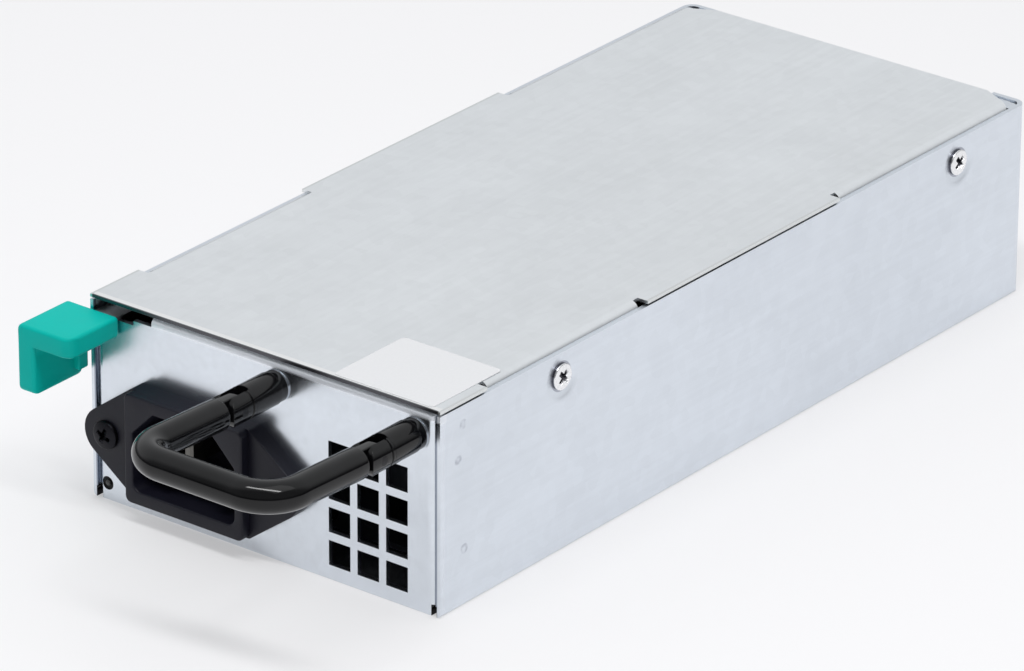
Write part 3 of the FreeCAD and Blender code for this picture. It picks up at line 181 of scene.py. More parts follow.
class Studio(PropertyGroup):
    """Floor, light and camera."""

    camera_place: FloatVectorProperty(name="Camera Place", description="Where the camera stands",
                                      size=3, default=(0.79888, -1.04379, 0.61678),
                                      subtype="TRANSLATION", precision=5)
    camera_turn: FloatVectorProperty(name="Camera Turn", description="The camera's rotation",
                                     size=3, subtype="EULER",
                                     default=(1.1390222, -0.0044350, 0.6639633))
    focal_length: FloatProperty(name="Focal Length", description="The lens, in millimetres",
                                default=267.04, min=20)
    floor_colour: shade("Floor", "Colour of floor and backdrop", (0.905, 0.898, 0.908))
    floor_glow: factor("Floor Evenness", "How far shadows are softened", 0.45)
    room_light: FloatProperty(name="Room Light", description="Strength of the even light",
                              default=0.80, min=0)
    key_light: FloatProperty(name="Key Light", description="Power of the large soft lamp",
                             default=1.8, min=0, unit="POWER")
    strip_light: FloatProperty(name="Strip Light", description="Power of the long narrow lamp",
                               default=5.1, min=0, unit="POWER")


# ------------------------------------------------------------------ surfaces
def grid_faces(rows, cols, closed):
    """Quads of a grid that is rows by cols points; closed joins the last column to the first."""
    row = np.arange(rows - 1)[:, None]
    col = np.arange(cols if closed else cols - 1)[None, :]
    here = row * cols + col
    beside = row * cols + (col + 1) % cols
    return np.stack([here, beside, beside + cols, here + cols], axis=-1).reshape(-1, 4)


def skin(rows, closed=True, caps=(True, True), ring=False):
    """Points and faces of a surface given as rows of points. caps closes the first and last row
    with a flat face, and ring joins the last row to the first."""
    count, cols = rows.shape[:2]
    points = rows.reshape(-1, 3)
    if ring:
        faces = grid_faces(count + 1, cols, closed) % (count * cols)
    else:
        faces = grid_faces(count, cols, closed)
    faces = faces.tolist()
    if caps[0] and not ring:
        faces.append(list(range(cols))[::-1])
    if caps[1] and not ring:
        faces.append(list(range((count - 1) * cols, count * cols)))
    return points, faces


def quarter(steps):
    """Steps of a quarter circle: how far in and how far along, both from 0 to 1.
    In is one less sine of the angle, along is one less its cosine."""
    angle = np.linspace(0, np.pi / 2, steps)
    return 1 - np.sin(angle), 1 - np.cos(angle)


def rounded_rectangle(half_w, half_h, radius, steps=7):
    """Outlines of rectangles whose corners are quarter circles. The three sizes may be arrays, and
    each entry gives a row. A point is a corner's centre plus radius times (cosine, sine)."""
    half_w, half_h, radius = np.broadcast_arrays(half_w, half_h, radius)
    turn = np.linspace(0, np.pi / 2, steps)[None, :] + np.arange(4)[:, None] * np.pi / 2
    turn = turn.reshape(1, -1)
    sign = np.repeat(np.array([[1, 1], [-1, 1], [-1, -1], [1, -1]]), steps, axis=0)
    r = np.reshape(radius, (-1, 1))
    x = sign[:, 0] * (np.reshape(half_w, (-1, 1)) - r) + r * np.cos(turn)
    y = sign[:, 1] * (np.reshape(half_h, (-1, 1)) - r) + r * np.sin(turn)
    return np.stack([x, y], axis=-1)


def rounded_polygon(corners, radii, steps=10):
    """A convex outline with an arc at each corner. The arc's centre lies on the corner's bisector
    at radius over the sine of half the angle, and it touches both sides at radius over tangent."""
    corners = np.asarray(corners, float)
    radii = np.asarray(radii, float)
    back = np.roll(corners, 1, axis=0) - corners
    ahead = np.roll(corners, -1, axis=0) - corners
    back /= np.linalg.norm(back, axis=1, keepdims=True)
    ahead /= np.linalg.norm(ahead, axis=1, keepdims=True)
    half = np.arccos(np.clip((back * ahead).sum(1), -1, 1)) / 2
    middle = back + ahead
    middle /= np.linalg.norm(middle, axis=1, keepdims=True)
    centre = corners + middle * (radii / np.sin(half))[:, None]
    start = corners + back * (radii / np.tan(half))[:, None] - centre
    first = np.arctan2(start[:, 1], start[:, 0])
    sweep = np.pi - 2 * half
    turning = np.sign(back[:, 1] * ahead[:, 0] - back[:, 0] * ahead[:, 1])
    angle = first[:, None] + (turning * sweep)[:, None] * np.linspace(0, 1, steps)[None, :]
    x = centre[:, 0:1] + radii[:, None] * np.cos(angle)
    y = centre[:, 1:2] + radii[:, None] * np.sin(angle)
    return np.stack([x, y], axis=-1).reshape(-1, 2)


def reach(outline, angles):
    """How far an outline lies from its centre in each direction: the outline is walked in short
    even steps, turned into angle and distance, and read off at the angles asked for."""
    loop = np.vstack([outline, outline[:1]])
    length = np.concatenate([[0], np.cumsum(np.linalg.norm(np.diff(loop, axis=0), axis=1))])
    walk = np.linspace(0, length[-1], 6000, endpoint=False)
    x = np.interp(walk, length, loop[:, 0])
    y = np.interp(walk, length, loop[:, 1])
    at = np.arctan2(y, x) % (2 * np.pi)
    order = np.argsort(at)
    return np.interp(angles, at[order], np.hypot(x, y)[order], period=2 * np.pi)


def rounded_bar(low, high, axis, edge):
    """Rows of a block with all its edges rounded: a rounded rectangle carried along an axis, drawn
    in by a quarter circle at both ends."""
    low, high = np.asarray(low, float), np.asarray(high, float)
    others = [i for i in range(3) if i != axis]
    half = (high - low) / 2
    draw, run = quarter(6)
    inset = edge * np.concatenate([draw, draw[::-1]])
    loop = rounded_rectangle(half[others[0]] - inset, half[others[1]] - inset,
                             np.maximum(edge - inset, edge * 0.05))
    rows = np.zeros(loop.shape[:2] + (3,))
    rows[..., others[0]] = (low + high)[others[0]] / 2 + loop[..., 0]
    rows[..., others[1]] = (low + high)[others[1]] / 2 + loop[..., 1]
    rows[..., axis] = np.concatenate([low[axis] + edge * run,
                                      high[axis] - edge * run[::-1]])[:, None]
    return rows


def turned(profile, centre, axis, count=48):
    """A ring or disc from a list of (distance, height): the distance is turned about the axis."""
    profile = np.asarray(profile, float)
    turn = np.linspace(0, 2 * np.pi, count, endpoint=False)
    others = [i for i in range(3) if i != axis]
    rows = np.zeros((len(profile), count, 3))
    rows[..., others[0]] = centre[others[0]] + profile[:, 0:1] * np.cos(turn)
    rows[..., others[1]] = centre[others[1]] + profile[:, 0:1] * np.sin(turn)
    rows[..., axis] = centre[axis] + profile[:, 1:2]
    return rows


def add_piece(name, skins, finish, body, stands_for=(), sharp=32.0, edge=0.0):
    """Makes one object from several surfaces, with smooth faces, sharp folds and normals outwards,
    and lets it ride on its body. edge rounds its sharp folds."""
    points, faces, start = [], [], 0
    for some_points, some_faces in skins:
        points.append(some_points)
        faces += [[corner + start for corner in face] for face in some_faces]
        start += len(some_points)
    mesh = bpy.data.meshes.new(name)
    mesh.from_pydata(np.concatenate(points).tolist(), [], faces)
    shell = bmesh.new()
    shell.from_mesh(mesh)
    bmesh.ops.remove_doubles(shell, verts=shell.verts, dist=2e-7)
    bmesh.ops.dissolve_degenerate(shell, edges=shell.edges, dist=1e-8)
    bmesh.ops.recalc_face_normals(shell, faces=shell.faces)
    shell.to_mesh(mesh)
    shell.free()
    mesh.polygons.foreach_set("use_smooth", np.ones(len(mesh.polygons), bool))
    mesh.set_sharp_from_angle(angle=math.radians(sharp))
    mesh.materials.append(finish.material)
    piece = bpy.data.objects.new(name, mesh)
    bpy.context.scene.collection.objects.link(piece)
    if edge:
        bevel = piece.modifiers.new("Edges", "BEVEL")
        bevel.width = edge
        bevel.segments = 2
        bevel.limit_method = "ANGLE"
        bevel.angle_limit = math.radians(sharp)
        bevel.harden_normals = True
    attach(piece, body)
    if stands_for:
        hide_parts(*stands_for)


# ------------------------------------------------------------------ finishes
def feed(tree, socket, value):
    """Links another node's output to a socket, or sets a plain value on it."""
    if isinstance(value, bpy.types.NodeSocket):
        tree.links.new(value, socket)
    else:
        socket.default_value = value


def add_node(tree, kind, values=(), **settings):
    """Adds a node to a tree, makes its settings and feeds its inputs by name or place."""
    node = tree.nodes.new("ShaderNode" + kind)
    for name, setting in settings.items():
        setattr(node, name, setting)
    for name, value in dict(values).items():
        feed(tree, node.inputs[name], value)
    return node


def scaled(colour, times, lift=0.0):
    """A colour made darker or lighter."""
    return tuple(min(1.0, part * times + lift) for part in colour)


class Finish:
    """A material under construction: each method adds the nodes of one effect."""

    def __init__(self, name, colour, roughness, metallic=0.0):
        self.material = bpy.data.materials.new(name)
        self.material.use_nodes = True
        self.tree = self.material.node_tree
        self.shader = self.tree.nodes["Principled BSDF"]
        self.set(Base_Color=(*colour, 1.0), Roughness=roughness, Metallic=metallic)
        self.place = self.add("TexCoord").outputs["Object"]
        self.colour = None
        self.bump = None

    def add(self, kind, values=(), **settings):
        """Adds a node to this material."""
        return add_node(self.tree, kind, values, **settings)

    def set(self, **values):
        """Plain numbers or other nodes' outputs on the shader's own sockets."""
        for name, value in values.items():
            feed(self.tree, self.shader.inputs[name.replace("_", " ")], value)

    def cloud(self, scale, detail=3.0, rough=0.5, stretch=None):
        """Soft noise, with scale in waves per metre and a stretch for each axis."""
        place = self.place
        if stretch:
            place = self.add("Mapping", {"Vector": place, "Scale": stretch}).outputs["Vector"]
        return self.add("TexNoise", {"Vector": place, "Scale": scale, "Detail": detail,
                                     "Roughness": rough}).outputs["Fac"]

    def crystals(self, scale):
        """Random grey cells, one value for each."""
        cells = self.add("TexVoronoi", {"Vector": self.place, "Scale": scale})
        return self.add("SeparateColor", {"Color": cells.outputs["Color"]}).outputs["Red"]

    def spread(self, value, low, high, to_low, to_high):
        """Maps a value from one range to another."""
        return self.add("MapRange", {"Value": value, "From Min": low, "From Max": high,
                                     "To Min": to_low, "To Max": to_high}).outputs["Result"]

    def joined(self, first, second, operation="MULTIPLY"):
        """Two values put together by arithmetic."""
        return self.add("Math", {0: first, 1: second}, operation=operation).outputs["Value"]

    def tint(self, value, first, second):
        """The base colour runs from the first to the second colour with a value."""
        self.colour = (*first, 1.0)
        self.stain(value, second)

    def stain(self, mask, colour):
        """Another colour over the one so far, where a mask is one."""
        mix = self.add("Mix", {"Factor": mask, "A": self.colour, "B": (*colour, 1.0)},
                       data_type="RGBA")
        self.colour = mix.outputs["Result"]
        self.set(Base_Color=self.colour)

    def along(self, axis, centre=None):
        """The place along an axis, or how far it is from a centre."""
        place = self.add("SeparateXYZ", {"Vector": self.place}).outputs[axis]
        if centre is None:
            return place
        return self.joined(self.joined(place, centre, "SUBTRACT"), 0.0, "ABSOLUTE")

    def after(self, value, start, soft):
        """Zero up to a start, then rising to one over soft."""
        return self.spread(value, start, start + soft, 0, 1)

    def until(self, value, end, soft):
        """One up to an end, then falling to zero over soft."""
        return self.spread(value, end, end + soft, 1, 0)

    def within(self, value, low, high, soft):
        """One between low and high, zero outside, eased over soft on either side."""
        return self.joined(self.after(value, low - soft, soft), self.until(value, high, soft))

    def ring(self, beside, above, low, high, soft):
        """One where the distance from a point lies between low and high, found from the
        offsets along two axes."""
        square = self.joined(self.joined(beside, beside), self.joined(above, above), "ADD")
        return self.within(square, low ** 2, high ** 2, soft ** 2)

    def dull(self, value, low, high):
        """The roughness runs from low to high with a value."""
        self.set(Roughness=self.spread(value, 0.3, 0.7, low, high))

    def relief(self, value, depth, strength=1.0):
        """A bump of a depth in metres, added to those before it."""
        values = {"Height": value, "Distance": depth, "Strength": strength}
        if self.bump:
            values["Normal"] = self.bump
        self.bump = self.add("Bump", values).outputs["Normal"]
        self.set(Normal=self.bump)


def zinc_sheet(name, colour, looks):
    """Zinc-plated steel: small dull crystals, faint rolling lines and cloudy handling marks."""
    sheet = Finish(name, colour, looks.roughness, 1.0)
    cells = sheet.spread(sheet.crystals(420.0), 0, 1, 0.40, 0.60)
    cloud = sheet.cloud(38.0, 4.0, 0.6)
    lines = sheet.cloud(900.0, 2.0, 0.5, stretch=(1.0, 0.03, 1.0))
    both = sheet.joined(sheet.joined(cells, cloud, "ADD"),
                        sheet.spread(lines, 0.3, 0.7, -0.10, 0.10), "ADD")
    sheet.tint(sheet.spread(both, 0.65, 1.35, 0.0, 1.0), scaled(colour, 1 - looks.contrast),
               colour)
    sheet.dull(sheet.cloud(60.0, 3.0, 0.6), looks.roughness - 0.02, looks.roughness + 0.05)
    sheet.relief(lines, 0.00002, 0.20)
    sheet.relief(sheet.cloud(260.0, 2.0, 0.5), 0.00004, 0.10)
    return sheet


def case_zinc(looks):
    """The case's sheet: a smoother front panel with a dull bend along its top that carries a
    painted highlight, painted shade in the seam where its round side meets the wall, painted shade
    in the relief notches at the bottom corners, painted shade rings in the screws' dimples, and
    weld marks."""
    low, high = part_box("case_base")
    side, front, top = high[0], low[1], high[2]
    sheet = zinc_sheet("case_zinc", looks.case, looks)
    across, along, up = sheet.along("X", 0.0), sheet.along("Y"), sheet.along("Z")
    # Painted highlight: the top bend is coloured lighter; its higher roughness is real.
    bend = sheet.joined(sheet.after(up, top - 1.7 * MM, 0.6 * MM),
                        sheet.until(along, front + 1.6 * MM, 0.4 * MM))
    sheet.stain(bend, looks.bend)
    panel = sheet.spread(along, front + 0.9 * MM, front + 1.7 * MM, looks.front_roughness,
                         looks.roughness)
    bend_roughness = sheet.spread(bend, 0, 1, 0, looks.bend_roughness)
    handling = sheet.spread(sheet.cloud(60.0, 3.0, 0.6), 0.3, 0.7, 0.94, 1.12)
    sheet.set(Roughness=sheet.joined(handling, sheet.joined(panel, bend_roughness, "MAXIMUM")))
    # Painted shade: a dark line in the gap beside the panel's round side.
    seam = sheet.joined(sheet.within(across, side - 1.28 * MM, side - 0.76 * MM, 0.18 * MM),
                        sheet.until(along, front + 0.5 * MM, 0.2 * MM))
    sheet.stain(seam, looks.seam)
    # Painted shade inside the relief notches.
    notch = sheet.joined(sheet.within(across, side - 2.10 * MM, side - 0.74 * MM, 0.03 * MM),
                         sheet.until(up, 2.18 * MM, 0.06 * MM))
    notch = sheet.joined(notch, sheet.until(along, front + 2.6 * MM, 0.1 * MM))
    sheet.stain(notch, looks.dark)
    # Painted shade: a darker ring round each cover screw's head.
    low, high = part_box("cover_screws")
    radius = (high[2] - low[2]) / 2
    rim = radius + 0.1 * MM
    beside = sheet.joined(sheet.along("Y", (low[1] + high[1]) / 2),
                          (high[1] - low[1]) / 2 - radius, "SUBTRACT")
    dimple_shade = sheet.ring(beside, sheet.along("Z", (low[2] + high[2]) / 2), rim, rim + 0.2 * MM,
                        0.95 * MM)
    sheet.stain(dimple_shade, looks.dimple_shade)
    blots = sheet.spread(sheet.cloud(700.0, 2.0, 0.5), 0.38, 0.62, 0.15, 1.0)
    for back, height in WELDS:
        spot = sheet.ring(sheet.along("Y", front + back), sheet.along("Z", height),
                          0.55 * MM, 0.80 * MM, 0.75 * MM)
        sheet.stain(sheet.joined(spot, blots), looks.weld)
    return sheet


def cover_zinc(looks):
    """The cover's sheet: painted shade on the cut edges at the front and under the side flanges, a
    painted highlight on the fold behind the slightly turned-down front edge, painted shade on the
    side folds."""
    low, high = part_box("top_cover")
    sheet = zinc_sheet("cover_zinc", looks.cover, looks)
    along = sheet.along("Y")
    # Painted highlight on the fold behind the front edge.
    sheet.stain(sheet.within(along, low[1] + 0.6 * MM, low[1] + 1.3 * MM, 0.3 * MM), looks.fold_highlight)
    # Painted shade on the front cut edge.
    sheet.stain(sheet.until(along, low[1] + 0.22 * MM, 0.14 * MM), looks.edge)
    # Painted shade on the cut edges underneath.
    sheet.stain(sheet.until(sheet.along("Z"), low[2] + 0.26 * MM, 0.16 * MM), looks.edge)
    # Painted shade, a dark reflection, on the side folds.
    sheet.stain(sheet.after(sheet.along("X", 0.0), high[0] - 0.60 * MM, 0.25 * MM), looks.fold)
    return sheet


def plain_metal(name, colour, roughness, grain=1400.0, stretch=None, darker=None,
                smoother=0.05):
    """Machined or rolled metal: a fine grain in its colour, gloss and surface."""
    metal = Finish(name, colour, roughness, 1.0)
    lines = metal.cloud(grain, 3.0, 0.55, stretch)
    metal.tint(metal.spread(lines, 0.35, 0.65, 0, 1), darker or scaled(colour, 0.88), colour)
    metal.dull(lines, roughness - smoother, roughness + 0.1)
    metal.relief(lines, 0.00001, 0.4)
    return metal


def moulded(name, colour, roughness, grain=2600.0, depth=0.00002, variation=0.15, gloss=0.5):
    """Moulded plastic: fine spark texture, soft clouds in the gloss and slight colour drift."""
    plastic = Finish(name, colour, roughness)
    drift = plastic.cloud(90.0, 3.0, 0.5)
    plastic.tint(plastic.spread(drift, 0.35, 0.65, 0, 1), scaled(colour, 1 - variation), colour)
    plastic.dull(drift, roughness - 0.05, roughness + 0.07)
    plastic.relief(plastic.cloud(grain, 2.0, 0.5), depth, 0.5)
    plastic.set(Specular_IOR_Level=gloss)
    return plastic


def coated(name, colour):
    """Glossy black coating: slight orange peel and rubbed, duller stretches."""
    coat = Finish(name, colour, 0.08)
    rub = coat.cloud(120.0, 4.0, 0.6)
    coat.tint(coat.spread(rub, 0.45, 0.75, 0, 1), colour, scaled(colour, 1.8, 0.001))
    coat.dull(rub, 0.06, 0.11)
    coat.relief(coat.cloud(500.0, 2.0, 0.4), 0.00002, 0.10)
    coat.set(Specular_IOR_Level=0.34)
    return coat


def sticker(colour):
    """White film: hardly visible fibres and a slightly uneven sheen."""
    film = Finish("label_film", colour, 0.42)
    fibres = film.spread(film.cloud(1800.0, 4.0, 0.6), 0.3, 0.7, 0, 1)
    film.tint(fibres, scaled(colour, 0.965), colour)
    film.dull(film.cloud(80.0), 0.36, 0.5)
    film.relief(film.cloud(150.0, 2.0, 0.5), 0.00004, 0.3)
    return film


def laminate(colour):
    """Circuit board: solder mask over traces that show as darker and lighter lanes."""
    board = Finish("board_laminate", colour, 0.38)
    lanes = board.add("TexBrick", {"Vector": board.place, "Scale": 210.0, "Mortar Size": 0.05,
                                   "Brick Width": 1.4, "Row Height": 0.45}).outputs["Fac"]
    board.tint(board.joined(lanes, board.cloud(500.0)), colour, scaled(colour, 2.4, 0.02))
    board.dull(board.cloud(700.0), 0.3, 0.45)
    board.relief(lanes, 0.00004, 0.4)
    return board


def wound_wire(colour):
    """Enamelled copper: streaks of darker enamel and a wet gloss."""
    wire = Finish("enamelled_copper", colour, 0.28, 0.85)
    streak = wire.cloud(1300.0, 3.0, 0.6)
    wire.tint(wire.spread(streak, 0.3, 0.7, 0, 1), scaled(colour, 0.6), colour)
    wire.dull(streak, 0.2, 0.36)
    wire.relief(streak, 0.00002, 0.3)
    wire.set(Coat_Weight=0.5, Coat_Roughness=0.15)
    return wire


def light_pipe(colour, dark_from):
    """Smoky plastic with faint clouds inside, black from dark_from backwards."""
    pipe = Finish("light_pipe", colour, 0.3)
    haze = pipe.cloud(900.0)
    pipe.tint(haze, scaled(colour, 0.6), colour)
    pipe.stain(pipe.after(pipe.along("Y"), dark_from, 0.05 * MM), (0.003, 0.003, 0.003))
    pipe.dull(haze, 0.25, 0.38)
    pipe.set(Transmission_Weight=0.1, Specular_IOR_Level=0.15)
    return pipe


def dress(finish, *nodes):
    """Gives CAD pieces a finish."""
    for node in nodes:
        piece = frame["nodes"][node]
        if not piece.material_slots:
            piece.data.materials.append(finish.material)
        for place in piece.material_slots:
            place.material = finish.material


# ------------------------------------------------------------------ operators
class PSU_OT_case(Operator):
    """Gives the folded case, cover and inner brackets their zinc finish."""

    bl_idname = "psu.case"
    bl_label = "Case"

    def execute(self, context):
        looks = context.scene.psu_sheet
        dress(case_zinc(looks), "case_base")
        dress(cover_zinc(looks), "top_cover")
        dress(zinc_sheet("inner_zinc", looks.case, looks), "rear_panel", "fan_bracket")
        return {"FINISHED"}


class PSU_OT_handle(Operator):
    """Builds the bail and the two forked sleeves that it turns in."""

    bl_idname = "psu.handle"
    bl_label = "Handle"

    def execute(self, context):
        sizes = context.scene.psu_bail
        low, high = (np.array(c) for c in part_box("handle_bail"))
        sleeve_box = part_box("handle_socket_left")
        legs = [(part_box(node)[0][0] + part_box(node)[1][0]) / 2
                for node in ("handle_socket_left", "handle_socket_right")]
        radius = legs[0] - low[0]
        pivot = next(j for j in frame["joints"] if j["name"] == "handle_fold")["pos_m"]
        out = pivot[1] - low[1] - radius
        rise = high[2] - pivot[2] - radius
        tilt, reach_out = math.atan2(rise, out), math.hypot(out, rise)
        coating = coated("handle_coating", sizes.colour)
        sleeve_coating = coated("sleeve_coating", sizes.colour)
        # Next to the panel the sleeve's steel is bare.
        bare = sleeve_coating.after(sleeve_coating.along("Y"),
                                    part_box("case_base")[0][1] - 0.35 * MM, 0.1 * MM)
        sleeve_coating.stain(bare, sizes.bare)
        sleeve_coating.set(Metallic=bare)
        skins = [skin(self.swung(self.bar(sizes, legs, radius, pivot, reach_out), pivot, tilt))]
        skins += [skin(self.swung(self.tongue(sizes, leg, pivot), pivot, tilt), ring=True)
                  for leg in legs]
        add_piece("bail_grip", skins, coating, "handle", ["handle_bail"])
        sleeve_radius = (sleeve_box[1][0] - sleeve_box[0][0]) / 2
        for leg, side in zip(legs, ("left", "right")):
            add_piece("bail_sleeve_" + side, self.sleeve(sizes, leg, pivot, sleeve_radius),
                      sleeve_coating, "chassis", ["handle_socket_" + side],
                      edge=0.18 * MM)
        dress(plain_metal("pin_steel", (0.035, 0.035, 0.037), 0.35), "handle_pins")
        return {"FINISHED"}

    @staticmethod
    def swung(rows, pivot, tilt):
        """Rows turned about the hinge pin: the part in front of the pin goes up by the tilt."""
        away_y, away_z = rows[..., 1] - pivot[1], rows[..., 2] - pivot[2]
        turned_y = pivot[1] + away_y * math.cos(tilt) + away_z * math.sin(tilt)
        turned_z = pivot[2] - away_y * math.sin(tilt) + away_z * math.cos(tilt)
        return np.stack([rows[..., 0], turned_y, turned_z], axis=-1)

    @staticmethod
    def bar(sizes, legs, radius, pivot, reach_out):
        """A circle carried along the grip's centre line, which runs out along one leg, turns a
        quarter circle, crosses, turns again and runs back. Each end is drawn in by a quarter
        circle where the leg stops short of the fork."""
        bend = sizes.bend
        turn_y = pivot[1] - reach_out + bend
        start = pivot[1] - sizes.shoulder
        soft = 0.7 * MM
        draw, run = quarter(7)
        straight = np.linspace(start - soft, turn_y, 8)[1:]
        arc = np.linspace(0, np.pi / 2, 25)[1:]
        plain = np.zeros(len(run) + len(straight))
        half_x = legs[0] + np.concatenate([plain, bend - bend * np.cos(arc)])
        half_y = np.concatenate([start - soft * run, straight, turn_y - bend * np.sin(arc)])
        out_x = -np.concatenate([plain + 1, np.cos(arc)])
        out_y = -np.concatenate([plain, np.sin(arc)])
        size = radius - np.concatenate([soft * draw, np.zeros(len(half_x) - len(draw))])
        x, y, out_x, out_y, size = (
            np.concatenate([near, far[::-1]])[:, None]
            for near, far in ((half_x, sum(legs) - half_x), (half_y, half_y), (out_x, -out_x),
                              (out_y, out_y), (size, size)))
        turn = np.linspace(0, 2 * np.pi, sizes.around, endpoint=False)[None, :]
        out = size * np.cos(turn)
        return np.stack([x + out * out_x, y + out * out_y, pivot[2] + size * np.sin(turn)],
                        axis=-1)

    @staticmethod
    def tongue(sizes, leg, pivot):
        """A flat eye about the pin: in each direction from the pin it reaches the tip's radius, or
        the flat sides that run on into the leg. The rim is a quarter round on both faces."""
        turn = np.linspace(0, 2 * np.pi, 96, endpoint=False)
        tip = sizes.tongue_radius
        y, z = np.cos(turn), np.sin(turn)
        back = (sizes.shoulder + 1.0 * MM) / np.maximum(-y, 1e-6)
        flat = tip / np.maximum(np.abs(z), 1e-6)
        out = np.where(y > 0, tip, np.minimum(back, flat))
        half = sizes.tongue / 2
        rim = 0.35 * MM
        draw, run = quarter(5)
        across = np.concatenate([rim * run - half, half - rim * run[::-1]])
        distance = out[None, :] - rim * np.concatenate([draw, draw[::-1]])[:, None]
        hole = np.full_like(turn, sizes.pin_radius)[None, :]
        distance = np.concatenate([hole, distance, hole])
        across = np.concatenate([across[:1], across, across[-1:]])[:, None]
        return np.stack([np.broadcast_to(leg + across, distance.shape),
                         pivot[1] + distance * y, pivot[2] + distance * z], axis=-1)

    @staticmethod
    def sleeve(sizes, leg, pivot, radius):
        """A barrel on the panel, a little narrower at its collar, and two cheeks beyond it with a
        shallow crease round them. A cheek's outline is the part of the circle beyond the slot and
        the slot's flat face; its end is round about the pin."""
        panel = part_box("case_base")[0][1]
        foot = pivot[1] + radius
        step = 0.15 * MM
        skins = [skin(turned([(sizes.collar_radius, 0), (sizes.collar_radius, step - sizes.collar),
                              (radius, -sizes.collar), (radius, foot - panel)],
                             (leg, panel, pivot[2]), 1, 64))]
        half_gap = sizes.fork_gap / 2
        count = 25
        shoulders = sizes.crease_width * np.array([0.5, 0.25, -0.25, -0.5])
        place = np.concatenate([[foot], panel - sizes.crease_place + shoulders,
                                [pivot[1] + 0.3 * MM]])
        size = radius - sizes.crease_depth * np.array([0, 0, 1, 1, 0, 0])
        size = np.append(size, radius)[:, None]
        turn = np.linspace(-1, 1, count) * np.arccos(half_gap / size)
        x = np.concatenate([size * np.cos(turn), np.full((len(size), count), half_gap)], axis=1)
        z = size * np.sin(turn)
        z = np.concatenate([z, z[:, ::-1]], axis=1)
        tip = pivot[1] - np.sqrt(np.maximum(radius ** 2 - z[-1] ** 2, 0))
        y = np.vstack([np.repeat(place[:, None], 2 * count, axis=1), tip])
        for side in (-1, 1):
            points, faces = skin(np.stack([leg + side * x, y, pivot[2] + z], axis=-1),
                                 caps=(True, False))
            first = np.arange(count - 1) + len(points) - 2 * count
            last = len(points) - 1 - np.arange(count - 1)
            faces += np.stack([first, first + 1, last - 1, last], axis=-1).tolist()
            skins.append((points, faces))
        return skins


class PSU_OT_latch(Operator):
    """Builds the green finger pad and finishes the spring catch behind it."""

    bl_idname = "psu.latch"
    bl_label = "Latch"

    def execute(self, context):
        sizes = context.scene.psu_grip
        low, high = (np.array(c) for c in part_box("latch_pad"))
        plastic = moulded("latch_plastic", sizes.colour, 0.44, 2400.0, variation=0.06,
                          gloss=0.10)
        clear, rib_edge = 0.3 * MM, 0.4 * MM
        rib_low = (low[0] + clear, high[1] - sizes.rib, low[2] + sizes.foot)
        rib_high = (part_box("case_base")[0][0] - clear, high[1], high[2] - clear)
        skins = [skin(self.bent_plate(sizes, low, high)),
                 skin(rounded_bar(rib_low, rib_high, 2, rib_edge))]
        add_piece("latch_grip", skins, plastic, "latch", ["latch_pad"])
        dress(plain_metal("spring_steel", (0.55, 0.56, 0.57), 0.32, 1500.0, (1.0, 0.05, 1.0)),
              "latch_leaf", "latch_root")
        dress(plain_metal("catch_steel", (0.48, 0.48, 0.49), 0.4), "latch_tooth",
              "latch_rivets", "latch_root_rivets")
        return {"FINISHED"}

    @staticmethod
    def bent_plate(sizes, low, high):
        """A rounded bar carried up the side plate, round the fold and along the top plate. Each
        row is a rounded rectangle between the plate's outer and inner line. The first rows are
        shortened by the low corners' quarter circles, the last ones by the front corner's, and
        both ends are drawn in by the edge's quarter circle."""
        left, right = low[0], high[0]
        edge, fold = sizes.edge, sizes.fold
        inner_x = left + sizes.side_thickness
        inner_z = high[2] - sizes.top_thickness
        draw, run = quarter(10)
        edge_draw, edge_run = quarter(6)
        bend = np.linspace(0, np.pi / 2, 9)
        up = np.concatenate([low[2] + sizes.foot * run,
                             np.linspace(low[2] + sizes.foot, inner_z, 5)[1:]])
        plan = right - sizes.corner + sizes.corner * np.sin(bend[1:-1])
        across = np.concatenate([np.linspace(inner_x, right - sizes.corner, 5), plan])
        across = np.concatenate([across[across < right - edge - 1e-6],
                                 right - edge * edge_run[::-1]])
        outer_x = np.concatenate([np.full(len(up), left), left + fold - fold * np.cos(bend),
                                  across])
        outer_z = np.concatenate([up, high[2] - fold + fold * np.sin(bend),
                                  np.full(len(across), high[2])])
        in_x = np.concatenate([np.full(len(up) + len(bend), inner_x), across])
        in_z = np.concatenate([up, np.full(len(bend) + len(across), inner_z)])
        start = np.interp(up - low[2], edge * edge_run, edge * edge_draw, right=0.0)
        tail = np.interp(across, right - edge * edge_run[::-1], edge * edge_draw[::-1], left=0.0)
        inset = np.concatenate([start, np.zeros(len(bend)), tail])
        shorter = np.interp(outer_z - low[2], sizes.foot * run, sizes.foot * draw, right=0.0)
        beyond = np.clip(outer_x - (right - sizes.corner), 0, sizes.corner)
        front = low[1] + shorter + sizes.corner - np.sqrt(sizes.corner ** 2 - beyond ** 2)
        back = high[1] - shorter
        outer = np.stack([outer_x, outer_z], axis=-1)
        inner = np.stack([in_x, in_z], axis=-1)
        thick = np.linalg.norm(outer - inner, axis=1)
        loop = rounded_rectangle(thick / 2 - inset, (back - front) / 2 - inset,
                                 np.maximum(edge - inset, 0.05 * edge), 6)
        share = loop[..., 0] / thick[:, None] + 0.5
        spot = inner[:, None, :] + (outer - inner)[:, None, :] * share[..., None]
        return np.stack([spot[..., 0], (front + back)[:, None] / 2 + loop[..., 1],
                         spot[..., 1]], axis=-1)


